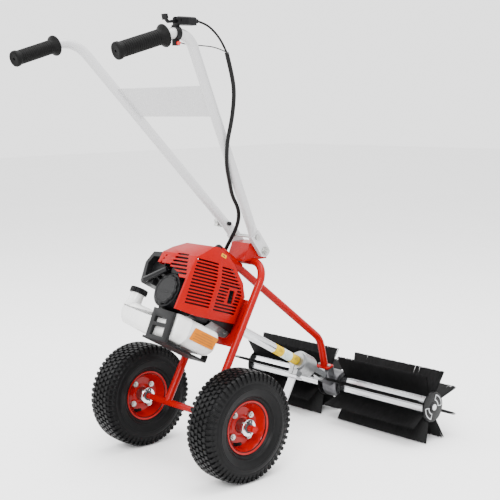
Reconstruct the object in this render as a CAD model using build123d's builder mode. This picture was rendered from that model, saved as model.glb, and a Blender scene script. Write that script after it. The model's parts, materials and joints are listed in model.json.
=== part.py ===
"""A walk-behind power sweeper: a small two-stroke engine on a two-wheeled hoop frame drives,
through a clutch and a long shaft, a bristle roller on each side of a bevel gearbox.

Millimetres. +X is the machine's right, +Y is forward from the operator to the brush, +Z is up.
The origin is on the ground, under the middle of the machine's outline.
"""

from build123d import *
from math import atan2, cos, degrees, radians, sin, tan
import os

# ---------------------------------------------------------------- driving dimensions
AXLE_Y = -150.66         # axle behind the origin
BRUSH_REACH = 534.0      # axle to brush axis, horizontally
LEAN = 30.0              # the hoop leans forward from upright, the drive line slopes down as much

TYRE_RADIUS = 130.0      # 10 inch pneumatic wheel, over the flats of the tread
TYRE_HALF = 43.0
TRACK_HALF = 189.0       # middle of each wheel from the centre line
LUGS = 36
BEAD_RADIUS = 55.2
RIM_LIP = 62.5
RIM_HALF = 30.0
RIM_BOLT_CIRCLE = 35.0
HUB_RADIUS = 17.5
HUB_HALF = 32.0
AXLE_RADIUS = 8.0
AXLE_HALF = 242.0
RUNNING = 0.05           # radial clearance of a running fit

HOOP_HALF = 78.0         # legs of the hoop from the centre line
HOOP_HEIGHT = 393.0      # along the leaning plane, axle to top bar
HOOP_BEND = 52.0
TUBE = 9.5               # radius of the frame's red tube
WALL = 1.6

BRISTLE_TIP = 95.0       # roller radius over the bristles
BRISTLE_ROOT = 29.5
BRISTLE_THICK = 6.5
STRIPS = 8
STRIP_FIRST = 22.5       # angle of the first strip above +Y
CORE_RADIUS = 30.0       # corners of the octagonal core tube
CORE_INNER = 26.0
DISC_RADIUS = 39.0
DISC_THICK = 5.0
ROLLER_IN = 36.0         # inner face of the inner disc from the centre line
ROLLER_OUT = 328.0       # outer face of the outer disc
OUTPUT_RADIUS = 8.0

PINION_TEETH = 9
GEAR_TEETH = 36
GEAR_IN, GEAR_OUT = 18.0, 30.0   # reach of the bevel teeth from the brush axis

DRIVE_TUBE = 12.5
SHAFT = 4.5

PIVOT = (40.0, 220.0, 495.0)     # handle bolt on the right, from the axle's ground point
HANDLE_RISE = (40.0, 188.0, 540.0)
HANDLE_CORNER = (211.0, -147.0, 1013.0)
GRIP_END = (196.0, -317.0, 963.0)
HANDLE_TUBE = 11.5
HANDLE_BEND = 65.0
GRIP_RADIUS = 16.5

FLYWHEEL_RADIUS = 44.0
BORE_RADIUS = 20.0
CYLINDER_Z = 98.0        # cylinder axis behind the engine plate
STARTER_RADIUS = 46.0

COTTER_X = [side_sign * TRACK_HALF + out for side_sign in (-1, 1)
            for out in (-HUB_HALF - 5.5, HUB_HALF + 5.5)]
PLATE_BOLTS = [(-33, -33), (33, -33), (-33, 33), (33, 33)]
BRACKET_HALF = 32.0
RIM_BOLT_ANGLE = 36
CRIMP_HALF = 6.0
CLAMP_REAR, CLAMP_FRONT = 296.0, 345.0   # gear clamp, along the drive line from the plate
BOSS_REACH = 78.0        # gearbox boss, from the brush axis
SHAFT_END = 26.0         # drive shaft, from the brush axis
STAND_LENGTH = 92.0
LOCK_REACH = 46.0        # second bolt through both handle tubes, from the pivot
KNOB_REACH = 82.0        # clamp knob of the left handle tube, from the pivot
FOOT = (0.0, 481.0, 145.5)       # middle of the support tube's bolted foot
FOOT_UP = (0, -0.196, 0.98)
CRANK_RADIUS = 7.5
SHROUD_RIGHT, SHROUD_LEFT = 85.0, 60.0
SHROUD_WALL = 2.6
SLOT_PITCH, SLOT_HEIGHT = 8.0, 4.0
SLOT_TURN = 12.0         # the side slots rise this much towards the front, from the drive line
ROPE_EXIT = (-54.5, 30.0)
HANDLE_GRIP_WAY = (67.0, 36.0)
CAP_PLACE = (-134.0, 169.0)
CONTROL = (207.6, -173.9, 1014.3)
CONDUIT_ROUTE = [(214, -42, 965), (202, -17, 919), (188, 1, 883), (174, 9, 844), (161, 13, 811),
                 (148, 14, 777), (131, 25, 743), (112, 42, 712), (91, 68, 678), (61, 101, 642),
                 (46, 134, 609), (33, 147, 582), (19, 150, 556), (4, 146, 530), (-13, 144, 505),
                 (-26, 143, 480), (-34, 138, 455)]
CONDUIT_IN_ENGINE = [(-40, 104, 50), (-48, 104, 74), (-52, 91, 98), (-52, 72.2, 98)]
CABLE_ROUTE = [(207.6, -115.7, 1028.3), (208.4, -93, 1024), (210, -68, 1006), (213, -52, 985),
               (214.4, -42.9, 966.6)]
WIRE_ROUTE = [(200, -166, 990), (188, -148, 984), (184, -122, 982), (192, -94, 980),
              (205, -64, 977), (211.2, -43.6, 967.8)]

# ---------------------------------------------------------------- places worked out from them
BRUSH_Y = AXLE_Y + BRUSH_REACH
BRUSH_Z = (BRISTLE_TIP * sin(radians(67.5)) + BRISTLE_THICK / 2 * cos(radians(67.5)))
LEAN_SIN, LEAN_COS = sin(radians(LEAN)), cos(radians(LEAN))
DRIVE_HEIGHT = BRUSH_REACH * LEAN_SIN + (BRUSH_Z - TYRE_RADIUS) * LEAN_COS
DRIVE_LENGTH = BRUSH_REACH * LEAN_COS - (BRUSH_Z - TYRE_RADIUS) * LEAN_SIN

REAR_UP = (0, -LEAN_COS, LEAN_SIN)   # along the drive line, away from the brush
hoop_plane = Plane(origin=(0, AXLE_Y, TYRE_RADIUS), x_dir=(1, 0, 0), z_dir=REAR_UP)
drive_plane = Plane(origin=hoop_plane.from_local_coords((0, DRIVE_HEIGHT, 0)),
                    x_dir=(1, 0, 0), z_dir=REAR_UP)


def ahead(point):
    """A point given from the ground under the axle, in the machine's own frame."""
    return Vector(point[0], point[1] + AXLE_Y, point[2])


def left(point):
    """The mirror image of a point on the right."""
    return (-point[0], point[1], point[2])


def behind(z, x=0.0, w=0.0):
    """Plane square to the drive line, z behind the engine plate, its origin x right and w up."""
    return Plane(origin=drive_plane.from_local_coords((x, w, z)), x_dir=(1, 0, 0), z_dir=REAR_UP)


def side(x):
    """Upright plane at x. Its axes run along the drive line, rearwards, and up from it."""
    return Plane(origin=drive_plane.from_local_coords((x, 0, 0)), x_dir=REAR_UP, z_dir=(-1, 0, 0))


def above(w, x=0.0, z=0.0):
    """Plane w above the drive line that looks up from it. Its y axis runs towards the brush."""
    return Plane(origin=drive_plane.from_local_coords((x, w, z)), x_dir=(1, 0, 0),
                 z_dir=(0, LEAN_SIN, LEAN_COS))


def across(x, y=BRUSH_Y, z=BRUSH_Z):
    """Plane square to the X axis."""
    return Plane(origin=(x, y, z), x_dir=(0, 1, 0), z_dir=(1, 0, 0))


def between(start, end):
    """Plane at start that looks towards end."""
    return Plane(origin=start, z_dir=end - start)


def bar(plane, radius, length, bore=0.0, mode=Mode.ADD):
    """A round bar or tube that stands on plane, joined to the piece being built."""
    with BuildSketch(plane) as end:
        Circle(radius)
        if bore:
            Circle(bore, mode=Mode.SUBTRACT)
    extrude(end.sketch, amount=length, mode=mode)


def block(plane, width, height, length, corner=0.0, mode=Mode.ADD):
    """A bar of rectangular section that stands on plane, joined to the piece being built."""
    with BuildSketch(plane) as end:
        if corner:
            RectangleRounded(width, height, corner)
        else:
            Rectangle(width, height)
    extrude(end.sketch, amount=length, mode=mode)


def prism(plane, points, length, mode=Mode.ADD):
    """A bar whose section is a polygon, joined to the piece being built."""
    with BuildSketch(plane) as end:
        with BuildLine():
            Polyline(*points, close=True)
        make_face()
    extrude(end.sketch, amount=length, mode=mode)


def hex_bolt(plane, size, grip, head=None):
    """A bolt whose head stands on plane and whose shank runs grip below it."""
    across_flats = head or size * 1.7
    with BuildSketch(plane) as flats:
        RegularPolygon(across_flats / 2, 6, major_radius=False)
    extrude(flats.sketch, amount=size * 0.65)
    bar(plane, size / 2, -grip)


def save(builder, name):
    builder.part.label = name
    export_step(builder.part, f"parts/{name}.step")


os.makedirs("parts", exist_ok=True)


# ---------------------------------------------------------------- frame
def build_frame():
    with BuildPart() as frame_hoop:
        with BuildLine(hoop_plane) as route:
            FilletPolyline((-HOOP_HALF, 0), (-HOOP_HALF, HOOP_HEIGHT), (HOOP_HALF, HOOP_HEIGHT),
                           (HOOP_HALF, 0), radius=HOOP_BEND)
        with BuildSketch(Plane(origin=route.line @ 0, z_dir=route.line % 0)):
            Circle(TUBE)
            Circle(TUBE - WALL, mode=Mode.SUBTRACT)
        sweep(path=route.line)
        bar(across(-120, AXLE_Y, TYRE_RADIUS), AXLE_RADIUS, 240, mode=Mode.SUBTRACT)
    save(frame_hoop, "frame_hoop")

    with BuildPart() as axle:
        bar(across(-AXLE_HALF, AXLE_Y, TYRE_RADIUS), AXLE_RADIUS, 2 * AXLE_HALF)
        for edge_x in (-AXLE_HALF, AXLE_HALF):
            edges = axle.edges().filter_by_position(Axis.X, edge_x - 0.1, edge_x + 0.1)
            chamfer(edges, 1.5)
        for pin_x in COTTER_X:
            bar(Plane(origin=(pin_x, AXLE_Y, TYRE_RADIUS - 20), z_dir=(0, 0, 1)), 2.0, 40,
                mode=Mode.SUBTRACT)
    save(axle, "axle")

    with BuildPart() as wheel_retainers:
        for pin_x in COTTER_X:
            foot = Plane(origin=(pin_x, AXLE_Y, TYRE_RADIUS - 13), z_dir=(0, 0, 1))
            bar(foot, 1.9, 26)
            bar(across(pin_x - 1.6, AXLE_Y, TYRE_RADIUS + 15.5), 5.0, 3.2, bore=2.2)
        for wheel_x in (-TRACK_HALF, TRACK_HALF):
            for start in (wheel_x + HUB_HALF + 0.4, wheel_x - HUB_HALF - 2.4):
                bar(across(start, AXLE_Y, TYRE_RADIUS), 11.5, 2, bore=AXLE_RADIUS)
    save(wheel_retainers, "wheel_retainers")

    with BuildPart() as engine_plate:
        block(behind(-2.0), 2 * HOOP_HALF, 122, 4)
        for leg_x in (-HOOP_HALF, HOOP_HALF):
            with BuildSketch(above(-90, leg_x)) as leg:
                Circle(TUBE)
            extrude(leg.sketch, amount=180, mode=Mode.SUBTRACT)
        bar(behind(-3), 19.3, 6, mode=Mode.SUBTRACT)
        with BuildSketch(behind(-3)) as holes:
            with Locations(*PLATE_BOLTS):
                Circle(3.3)
        extrude(holes.sketch, amount=6, mode=Mode.SUBTRACT)
    save(engine_plate, "engine_plate")

    sleeve_top, sleeve_foot = ahead((0, 107, 506)), ahead((0, 172, 454.9))
    with BuildPart() as sleeve_tube:
        bar(between(sleeve_top, sleeve_foot), 13.0, (sleeve_foot - sleeve_top).length, bore=9.7)
        bar(hoop_plane_bar(), TUBE + 0.1, 80, mode=Mode.SUBTRACT)
    save(sleeve_tube, "sleeve_tube")

    foot_plane = Plane(origin=ahead(FOOT), x_dir=(1, 0, 0), z_dir=FOOT_UP)
    with BuildPart() as support_tube:
        with BuildLine() as route:
            FilletPolyline(ahead((0, 134, 484.8)), ahead((0, 463, 226)), ahead(FOOT), radius=62)
        with BuildSketch(Plane(origin=route.line @ 0, z_dir=route.line % 0)):
            Circle(TUBE)
            Circle(TUBE - WALL, mode=Mode.SUBTRACT)
        sweep(path=route.line)
        block(foot_plane, 46, 28, 4, corner=6)
        for x in (-16, 16):
            bar(foot_plane.shift_origin(foot_plane.from_local_coords((x, 0, 0))), 3.1, 5,
                mode=Mode.SUBTRACT)
        block(foot_plane.offset(-20), 60, 60, 20, mode=Mode.SUBTRACT)
    save(support_tube, "support_tube")

    with BuildPart() as handle_bracket:
        rear, front, base, top = 162, 238, 474, 517
        with BuildSketch(Plane.YZ.offset(-BRACKET_HALF)) as outline:
            with BuildLine():
                Polyline((rear + AXLE_Y, base), (front + AXLE_Y, base),
                         (front + AXLE_Y, top - 14), (front - 12 + AXLE_Y, top),
                         (rear + 20 + AXLE_Y, top), close=True)
            make_face()
        extrude(outline.sketch, amount=2 * BRACKET_HALF)
        with BuildSketch(Plane.YZ.offset(3 - BRACKET_HALF)) as hollow:
            with BuildLine():
                Polyline((rear + 5 + AXLE_Y, base - 5), (front + 5 + AXLE_Y, base - 5),
                         (front + 5 + AXLE_Y, top - 3), (rear + 22.5 + AXLE_Y, top - 3),
                         (rear + 5 + AXLE_Y, base + 4), close=True)
            make_face()
        extrude(hollow.sketch, amount=2 * BRACKET_HALF - 6, mode=Mode.SUBTRACT)
        bar(hoop_plane_bar(), TUBE + 0.05, 80, mode=Mode.SUBTRACT)
        bar(between(sleeve_top, sleeve_foot), 13.1, 85, mode=Mode.SUBTRACT)
        bar(across(-50, *pivot_yz()), 5.1, 100, mode=Mode.SUBTRACT)
    save(handle_bracket, "handle_bracket")


def hoop_plane_bar():
    """Plane square to the hoop's top bar, at the bar's left part."""
    centre = hoop_plane.from_local_coords((-40, HOOP_HEIGHT, 0))
    return Plane(origin=centre, x_dir=(0, 1, 0), z_dir=(1, 0, 0))


def pivot_yz():
    return PIVOT[1] + AXLE_Y, PIVOT[2]




# ---------------------------------------------------------------- wheels
def build_wheel(name, wheel_x):
    """A pneumatic tyre on a split steel rim whose halves are bolted round a bearing hub."""
    middle = Vector(wheel_x, AXLE_Y, TYRE_RADIUS)
    section = Plane(origin=middle, x_dir=(1, 0, 0), z_dir=(0, -1, 0))
    spin = Axis(middle, (1, 0, 0))
    wheel_plane = across(wheel_x - 50, AXLE_Y, TYRE_RADIUS)

    with BuildPart() as tyre:
        with BuildSketch(section) as wall:
            with BuildLine():
                Polyline((-36, TYRE_RADIUS - 7), (-30, TYRE_RADIUS + 0.6), (30, TYRE_RADIUS + 0.6),
                         (36, TYRE_RADIUS - 7))
                ThreePointArc((36, TYRE_RADIUS - 7), (TYRE_HALF, 92), (27.8, RIM_LIP + 1.5))
                Polyline((27.8, RIM_LIP + 1.5), (27.8, BEAD_RADIUS), (-27.8, BEAD_RADIUS),
                         (-27.8, RIM_LIP + 1.5))
                ThreePointArc((-27.8, RIM_LIP + 1.5), (-TYRE_HALF, 92), (-36, TYRE_RADIUS - 7))
            make_face()
            with BuildLine():
                ThreePointArc((-18, BEAD_RADIUS - 1), (-34, 90), (-28, 118))
                ThreePointArc((-28, 118), (0, 121.5), (28, 118))
                ThreePointArc((28, 118), (34, 90), (18, BEAD_RADIUS - 1))
                Line((18, BEAD_RADIUS - 1), (-18, BEAD_RADIUS - 1))
            make_face(mode=Mode.SUBTRACT)
        revolve(wall.sketch, axis=spin)
        with BuildSketch(wheel_plane) as flats:
            RegularPolygon(TYRE_RADIUS, LUGS, major_radius=False, rotation=-90 - 180 / LUGS)
        extrude(flats.sketch, amount=100, mode=Mode.INTERSECT)
        with BuildSketch(wheel_plane) as grooves:
            with PolarLocations(TYRE_RADIUS, LUGS, start_angle=-90 + 180 / LUGS):
                Rectangle(9, 5)
        extrude(grooves.sketch, amount=100, mode=Mode.SUBTRACT)
    save(tyre, f"tyre_{name}")

    with BuildPart() as rim:
        with BuildSketch(section) as pressing:
            with BuildLine():
                Polyline((-RIM_HALF, RIM_LIP), (-RIM_HALF, 55.4), (-24, 52.2), (-3, 50), (-2.5, 46),
                         (-2.5, HUB_RADIUS), (2.5, HUB_RADIUS), (2.5, 46), (3, 50), (24, 52.2),
                         (RIM_HALF, 55.4), (RIM_HALF, RIM_LIP), (28, RIM_LIP), (28, 55), (-28, 55),
                         (-28, RIM_LIP), close=True)
            make_face()
        revolve(pressing.sketch, axis=spin)
        with BuildSketch(wheel_plane) as holes:
            with PolarLocations(RIM_BOLT_CIRCLE, 4, start_angle=RIM_BOLT_ANGLE):
                Circle(4.0)
        extrude(holes.sketch, amount=100, mode=Mode.SUBTRACT)
    save(rim, f"rim_{name}")

    with BuildPart() as hub:
        with BuildSketch(section) as turned:
            with BuildLine():
                Polyline((-HUB_HALF, AXLE_RADIUS + RUNNING), (-HUB_HALF, 14), (-HUB_HALF + 3, 14),
                         (-HUB_HALF + 3, 15.5), (-HUB_HALF, 15.5), (-HUB_HALF, HUB_RADIUS - 0.1),
                         (HUB_HALF, HUB_RADIUS - 0.1), (HUB_HALF, 15.5), (HUB_HALF - 3, 15.5),
                         (HUB_HALF - 3, 14), (HUB_HALF, 14), (HUB_HALF, AXLE_RADIUS + RUNNING),
                         close=True)
            make_face()
        revolve(turned.sketch, axis=spin)
        for angle in range(4):
            turn = radians(RIM_BOLT_ANGLE + 90 * angle)
            y = AXLE_Y + RIM_BOLT_CIRCLE * cos(turn)
            z = TYRE_RADIUS + RIM_BOLT_CIRCLE * sin(turn)
            bar(across(wheel_x - 2.5, y, z), 3.95, 5.0)
            for seat, reach in ((2.5, 6.5), (-2.5, -6.5)):
                with BuildSketch(across(wheel_x + seat, y, z)) as flats:
                    RegularPolygon(6.5, 6, major_radius=False)
                extrude(flats.sketch, amount=reach)
            bar(across(wheel_x + 9, y, z), 3.95, 4.0)
    save(hub, f"hub_{name}")


# ---------------------------------------------------------------- handle
def build_handle(name, turned):
    """One handle tube, crimped flat at its bolt, with its rubber grip."""
    pivot, rise, corner = ahead(turned(PIVOT)), ahead(turned(HANDLE_RISE)), ahead(turned(HANDLE_CORNER))
    end = ahead(turned(GRIP_END))
    flat_way, leg_way, grip_way = rise - pivot, corner - rise, end - corner
    round_start = rise + leg_way.normalized() * 34
    tube_end = end - grip_way.normalized() * 4.5
    lock = pivot + flat_way.normalized() * LOCK_REACH

    with BuildPart() as handle_tube:
        with BuildLine() as route:
            FilletPolyline(round_start, corner, tube_end, radius=HANDLE_BEND)
        with BuildSketch(Plane(origin=route.line @ 0, z_dir=route.line % 0)):
            Circle(HANDLE_TUBE)
            Circle(HANDLE_TUBE - 1.5, mode=Mode.SUBTRACT)
        sweep(path=route.line)
        with BuildSketch(Plane(origin=rise, x_dir=(1, 0, 0), z_dir=flat_way)) as flat_section:
            Ellipse(CRIMP_HALF, 15)
        with BuildSketch(Plane(origin=round_start, x_dir=(1, 0, 0), z_dir=leg_way)) as round_section:
            Circle(HANDLE_TUBE)
        loft([flat_section.sketch, round_section.sketch])
        inner = min(abs(pivot.X) - CRIMP_HALF, abs(pivot.X) + CRIMP_HALF)
        start_x = inner if pivot.X > 0 else -inner - 2 * CRIMP_HALF
        angle = degrees(atan2(flat_way.Z, flat_way.Y))
        with BuildSketch(across(start_x, pivot.Y, pivot.Z)) as flat:
            Circle(15)
            Rectangle(flat_way.length, 30, rotation=angle, align=(Align.MIN, Align.CENTER))
        extrude(flat.sketch, amount=2 * CRIMP_HALF)
        bar(across(start_x - 1, pivot.Y, pivot.Z), 5.1, 2 * CRIMP_HALF + 2, mode=Mode.SUBTRACT)
        bar(across(start_x - 1, lock.Y, lock.Z), 4.1, 2 * CRIMP_HALF + 2, mode=Mode.SUBTRACT)
        if name == "left":
            knob = pivot + flat_way.normalized() * KNOB_REACH
            bar(across(start_x - 30, knob.Y, knob.Z), 4.05, 60, mode=Mode.SUBTRACT)
    save(handle_tube, f"handle_tube_{name}")


def build_grips():
    with BuildPart() as grips:
        for turned in (lambda point: point, left):
            corner, end = ahead(turned(HANDLE_CORNER)), ahead(turned(GRIP_END))
            away = (end - corner).normalized()
            start = end - away * 121
            with BuildSketch(Plane(origin=start, x_dir=away, z_dir=Vector(0, 0, 1).cross(away))) as wall:
                with BuildLine():
                    Polyline((0, HANDLE_TUBE + 0.05), (0, 24), (4, 24.5), (7, 22), (12, 17.5),
                             (17, GRIP_RADIUS), (111, GRIP_RADIUS - 0.4), (113, 18.5),
                             (118, 18.5), (121, 16), (121, 3), (116.6, 3),
                             (116.6, HANDLE_TUBE + 0.05), close=True)
                make_face()
            revolve(wall.sketch, axis=Axis(start, away))
    save(grips, "grips")


def build_handle_plate():
    rise, corner = ahead(HANDLE_RISE), ahead(HANDLE_CORNER)
    way = corner - rise
    top = rise + way * ((896 - HANDLE_RISE[2]) / (HANDLE_CORNER[2] - HANDLE_RISE[2]))
    foot = rise + way * ((830 - HANDLE_RISE[2]) / (HANDLE_CORNER[2] - HANDLE_RISE[2]))
    face = Plane(origin=(0, foot.Y, foot.Z), x_dir=(1, 0, 0), z_dir=(0, way.Z, -way.Y))
    height = face.to_local_coords(Vector(0, top.Y, top.Z)).Y
    with BuildPart() as handle_plate:
        prism(face, [(-foot.X, 0), (foot.X, 0), (top.X, height), (-top.X, height)], 2.5)
        for turned in (ahead, lambda point: ahead(left(point))):
            tube = between(turned(HANDLE_RISE), turned(HANDLE_CORNER))
            bar(tube, HANDLE_TUBE + 0.02, 560, mode=Mode.SUBTRACT)
    save(handle_plate, "handle_plate")


def build_handle_bolts():
    pivot, rise = ahead(PIVOT), ahead(HANDLE_RISE)
    lock = pivot + (rise - pivot).normalized() * LOCK_REACH
    outer = PIVOT[0] + CRIMP_HALF
    with BuildPart() as pivot_bolts:
        bar(across(-outer - 10, pivot.Y, pivot.Z), 5.0, 2 * outer + 20)
        for sign in (-1, 1):
            bar(across(sign * outer, pivot.Y, pivot.Z), 11, sign * 1.8)
            with BuildSketch(across(sign * (outer + 1.8), pivot.Y, pivot.Z)) as flats:
                RegularPolygon(8, 6, major_radius=False)
            extrude(flats.sketch, amount=sign * 6.5)
        bar(across(-outer - 5, lock.Y, lock.Z), 4.0, 2 * outer + 10)
        for sign in (-1, 1):
            for place, thick in ((outer + 0.2, 5.0), (PIVOT[0] - CRIMP_HALF - 0.2, -4.0)):
                with BuildSketch(across(sign * place, lock.Y, lock.Z)) as flats:
                    RegularPolygon(6, 6, major_radius=False)
                extrude(flats.sketch, amount=sign * thick)
    save(pivot_bolts, "pivot_bolts")

    grip_way = pivot + (rise - pivot).normalized() * KNOB_REACH
    with BuildPart() as lock_knob:
        with BuildSketch(across(-outer - 20, grip_way.Y, grip_way.Z)) as star:
            Circle(9)
            with PolarLocations(9, 5):
                Circle(3.4)
        extrude(star.sketch, amount=-12)
        bar(across(-outer - 21, grip_way.Y, grip_way.Z), 4.0, 37)
    save(lock_knob, "lock_knob")


# ---------------------------------------------------------------- roller
def build_roller():
    with BuildPart() as brush_core:
        for start in (-ROLLER_OUT + DISC_THICK, ROLLER_IN + DISC_THICK):
            with BuildSketch(across(start)) as octagon:
                RegularPolygon(CORE_RADIUS, STRIPS, rotation=STRIP_FIRST + 22.5)
                RegularPolygon(CORE_INNER, STRIPS, rotation=STRIP_FIRST + 22.5, mode=Mode.SUBTRACT)
            extrude(octagon.sketch, amount=ROLLER_OUT - ROLLER_IN - 2 * DISC_THICK)
    save(brush_core, "brush_core")

    with BuildPart() as brush_discs:
        for start in (-ROLLER_OUT, -ROLLER_IN - DISC_THICK, ROLLER_IN, ROLLER_OUT - DISC_THICK):
            bar(across(start), DISC_RADIUS, DISC_THICK, bore=OUTPUT_RADIUS)
    save(brush_discs, "brush_discs")

    with BuildPart() as bristle_strips:
        for sign in (-1, 1):
            outline = [(sign * 46, BRISTLE_ROOT), (sign * 317, BRISTLE_ROOT),
                       (sign * 336, BRISTLE_TIP), (sign * 58, BRISTLE_TIP)]
            for strip in range(STRIPS):
                turn = radians(STRIP_FIRST + strip * 360 / STRIPS)
                outward = (0, cos(turn), sin(turn))
                across_strip = Vector(1, 0, 0).cross(Vector(*outward))
                middle = Vector(0, BRUSH_Y, BRUSH_Z) - across_strip * (BRISTLE_THICK / 2)
                prism(Plane(origin=middle, x_dir=(1, 0, 0), z_dir=across_strip), outline,
                      BRISTLE_THICK)
    save(bristle_strips, "bristle_strips")


# ---------------------------------------------------------------- gearbox and drive line
def build_drive():
    gear_reach = DRIVE_LENGTH
    foot_plane = Plane(origin=ahead(FOOT), x_dir=(1, 0, 0), z_dir=FOOT_UP)
    with BuildPart() as gearbox_housing:
        bar(across(-24), 37, 48)
        bar(across(-34), 17, 68)
        bar(behind(-gear_reach + 20), 19, BOSS_REACH - 20)
        block(foot_plane.offset(-24), 46, 28, 23.9, corner=6)
        bar(across(-20), 33.5, 40, mode=Mode.SUBTRACT)
        bar(across(-35), OUTPUT_RADIUS + RUNNING, 70, mode=Mode.SUBTRACT)
        bar(behind(-gear_reach + 20), 12.0, 37, mode=Mode.SUBTRACT)
        bar(behind(-gear_reach + 50), SHAFT + RUNNING, 40, mode=Mode.SUBTRACT)
        block(behind(-gear_reach + BOSS_REACH), 90, 90, 30, mode=Mode.SUBTRACT)
        for x in (-16, 16):
            bar(foot_plane.shift_origin(foot_plane.from_local_coords((x, 0, 0))), 3.1, -9,
                mode=Mode.SUBTRACT)
    save(gearbox_housing, "gearbox_housing")

    # Both bevel gears shrink towards the crossing of their axes, so each tooth is one loft.
    apex = Vector(0, BRUSH_Y, BRUSH_Z)
    ratio = PINION_TEETH / GEAR_TEETH
    with BuildPart() as drive_pinion:
        sections = []
        for reach in (GEAR_IN, GEAR_OUT):
            pitch = reach * ratio
            scale = reach / GEAR_OUT
            with BuildSketch(behind(-gear_reach + reach)) as teeth:
                Circle(pitch - 1.5 * scale)
                for tooth in range(PINION_TEETH):
                    turn = radians(tooth * 360 / PINION_TEETH)
                    out, along = Vector(cos(turn), sin(turn)), Vector(-sin(turn), cos(turn))
                    with BuildLine():
                        Polyline(*[tuple(out * (pitch + r * scale) + along * (a * scale))[:2]
                                   for r, a in ((-2.2, -1.1), (1.1, -0.45), (1.1, 0.45), (-2.2, 1.1))],
                                 close=True)
                    make_face()
            sections.append(teeth.sketch)
        loft(sections, ruled=True)
        bar(behind(-gear_reach + GEAR_OUT), 9.5, 8)
        bar(behind(-gear_reach + SHAFT_END), SHAFT, 24, mode=Mode.SUBTRACT)
    save(drive_pinion, "drive_pinion")

    with BuildPart() as output_gear:
        bar(across(-ROLLER_OUT - 4), OUTPUT_RADIUS, 2 * ROLLER_OUT + 8)
        bar(across(GEAR_OUT * ratio + 2.0), GEAR_OUT + 1.0, 5.5)
        to_pinion = Vector(0, -LEAN_COS, LEAN_SIN)
        for tooth in range(GEAR_TEETH):
            out = to_pinion.rotate(Axis.X, (tooth + 0.5) * 360 / GEAR_TEETH)
            ends = []
            for reach in (GEAR_IN, GEAR_OUT):
                scale = reach / GEAR_OUT
                origin = apex + out * reach + Vector(reach * ratio, 0, 0)
                with BuildSketch(Plane(origin=origin, x_dir=(1, 0, 0), z_dir=out)) as end:
                    with BuildLine():
                        Polyline((-1.1 * scale, -0.45 * scale), (-1.1 * scale, 0.45 * scale),
                                 (GEAR_OUT * ratio * (1 - scale) + 2.4, 1.3 * scale),
                                 (GEAR_OUT * ratio * (1 - scale) + 2.4, -1.3 * scale), close=True)
                    make_face()
                ends.append(end.sketch)
            loft(ends, ruled=True)
    save(output_gear, "output_gear")

    neck_front = gear_reach - BOSS_REACH
    with BuildPart() as gear_clamp:
        bar(behind(-CLAMP_FRONT), 29, CLAMP_FRONT - CLAMP_REAR - 8)
        bar(behind(-CLAMP_REAR - 8), 24, 8)
        block(behind(-CLAMP_REAR - 22, w=-30), 30, 16, 20, corner=3)
        bar(behind(-neck_front + 0.1), 19, 8)
        bar(behind(-CLAMP_FRONT - 6), 27, 12)
        for x in (-16.5, 16.5):
            block(behind(-neck_front + 0.1, x), 5, 13, neck_front - CLAMP_FRONT)
        bar(behind(-CLAMP_FRONT), 24, 12, mode=Mode.SUBTRACT)
        bar(behind(-neck_front), 11.1, neck_front - CLAMP_FRONT + 4, mode=Mode.SUBTRACT)
        block(behind(-neck_front, w=24), 60, 22, 12, mode=Mode.SUBTRACT)
        bar(behind(-CLAMP_FRONT), SHAFT + 3, 60, mode=Mode.SUBTRACT)
        bar(behind(-CLAMP_REAR - 34), DRIVE_TUBE + 0.03, 40, mode=Mode.SUBTRACT)
        block(behind(-CLAMP_REAR - 36, w=-32), 2.4, 40, 40, mode=Mode.SUBTRACT)
    save(gear_clamp, "gear_clamp")

    with BuildPart() as shaft_cover:
        bar(behind(-neck_front + 0.2), 11, neck_front - CLAMP_FRONT + 3, bore=9)
    save(shaft_cover, "shaft_cover")

    with BuildPart() as drive_tube:
        bar(behind(-CLAMP_REAR - 33), DRIVE_TUBE, CLAMP_REAR + 28, bore=DRIVE_TUBE - 1.6)
    save(drive_tube, "drive_tube")

    with BuildPart() as drive_shaft:
        bar(behind(-gear_reach + SHAFT_END), SHAFT - 0.02, gear_reach - SHAFT_END + 9)
        bar(behind(8), 34, 28)
        bar(behind(12), 31, 25, mode=Mode.SUBTRACT)
    save(drive_shaft, "drive_shaft")

    with BuildPart() as shaft_bushes:
        for z in (-30, -120, -210, -CLAMP_REAR - 20):
            bar(behind(z), DRIVE_TUBE - 1.62, 14, bore=SHAFT + RUNNING - 0.02)
    save(shaft_bushes, "shaft_bushes")

    with BuildPart() as stand_leg:
        block(behind(-CLAMP_REAR - 21.5, w=-43), 46, 6, 24, corner=2)
        block(above(-46, z=-CLAMP_REAR - 9), 25, 3.5, -STAND_LENGTH)
        with BuildSketch(Plane(origin=above(-46, z=-CLAMP_REAR - 9).origin, x_dir=(1, 0, 0),
                               z_dir=REAR_UP).offset(-5)) as tip:
            with BuildLine():
                Polyline((-14, -STAND_LENGTH - 1), (14, -STAND_LENGTH - 1), (14, -STAND_LENGTH + 16),
                         close=True)
            make_face()
        extrude(tip.sketch, amount=10, mode=Mode.SUBTRACT)
    save(stand_leg, "stand_leg")

    with BuildPart() as frame_bolts:
        for x, w in PLATE_BOLTS:
            hex_bolt(Plane(origin=behind(-2, x, w).origin, x_dir=(1, 0, 0),
                           z_dir=(0, LEAN_COS, -LEAN_SIN)), 6.0, 14)
        foot_plane = Plane(origin=ahead(FOOT), x_dir=(1, 0, 0), z_dir=FOOT_UP).offset(4.05)
        for x in (-16, 16):
            hex_bolt(foot_plane.shift_origin(foot_plane.from_local_coords((x, 0, 0))), 6.0, 12)
    save(frame_bolts, "frame_bolts")


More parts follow.
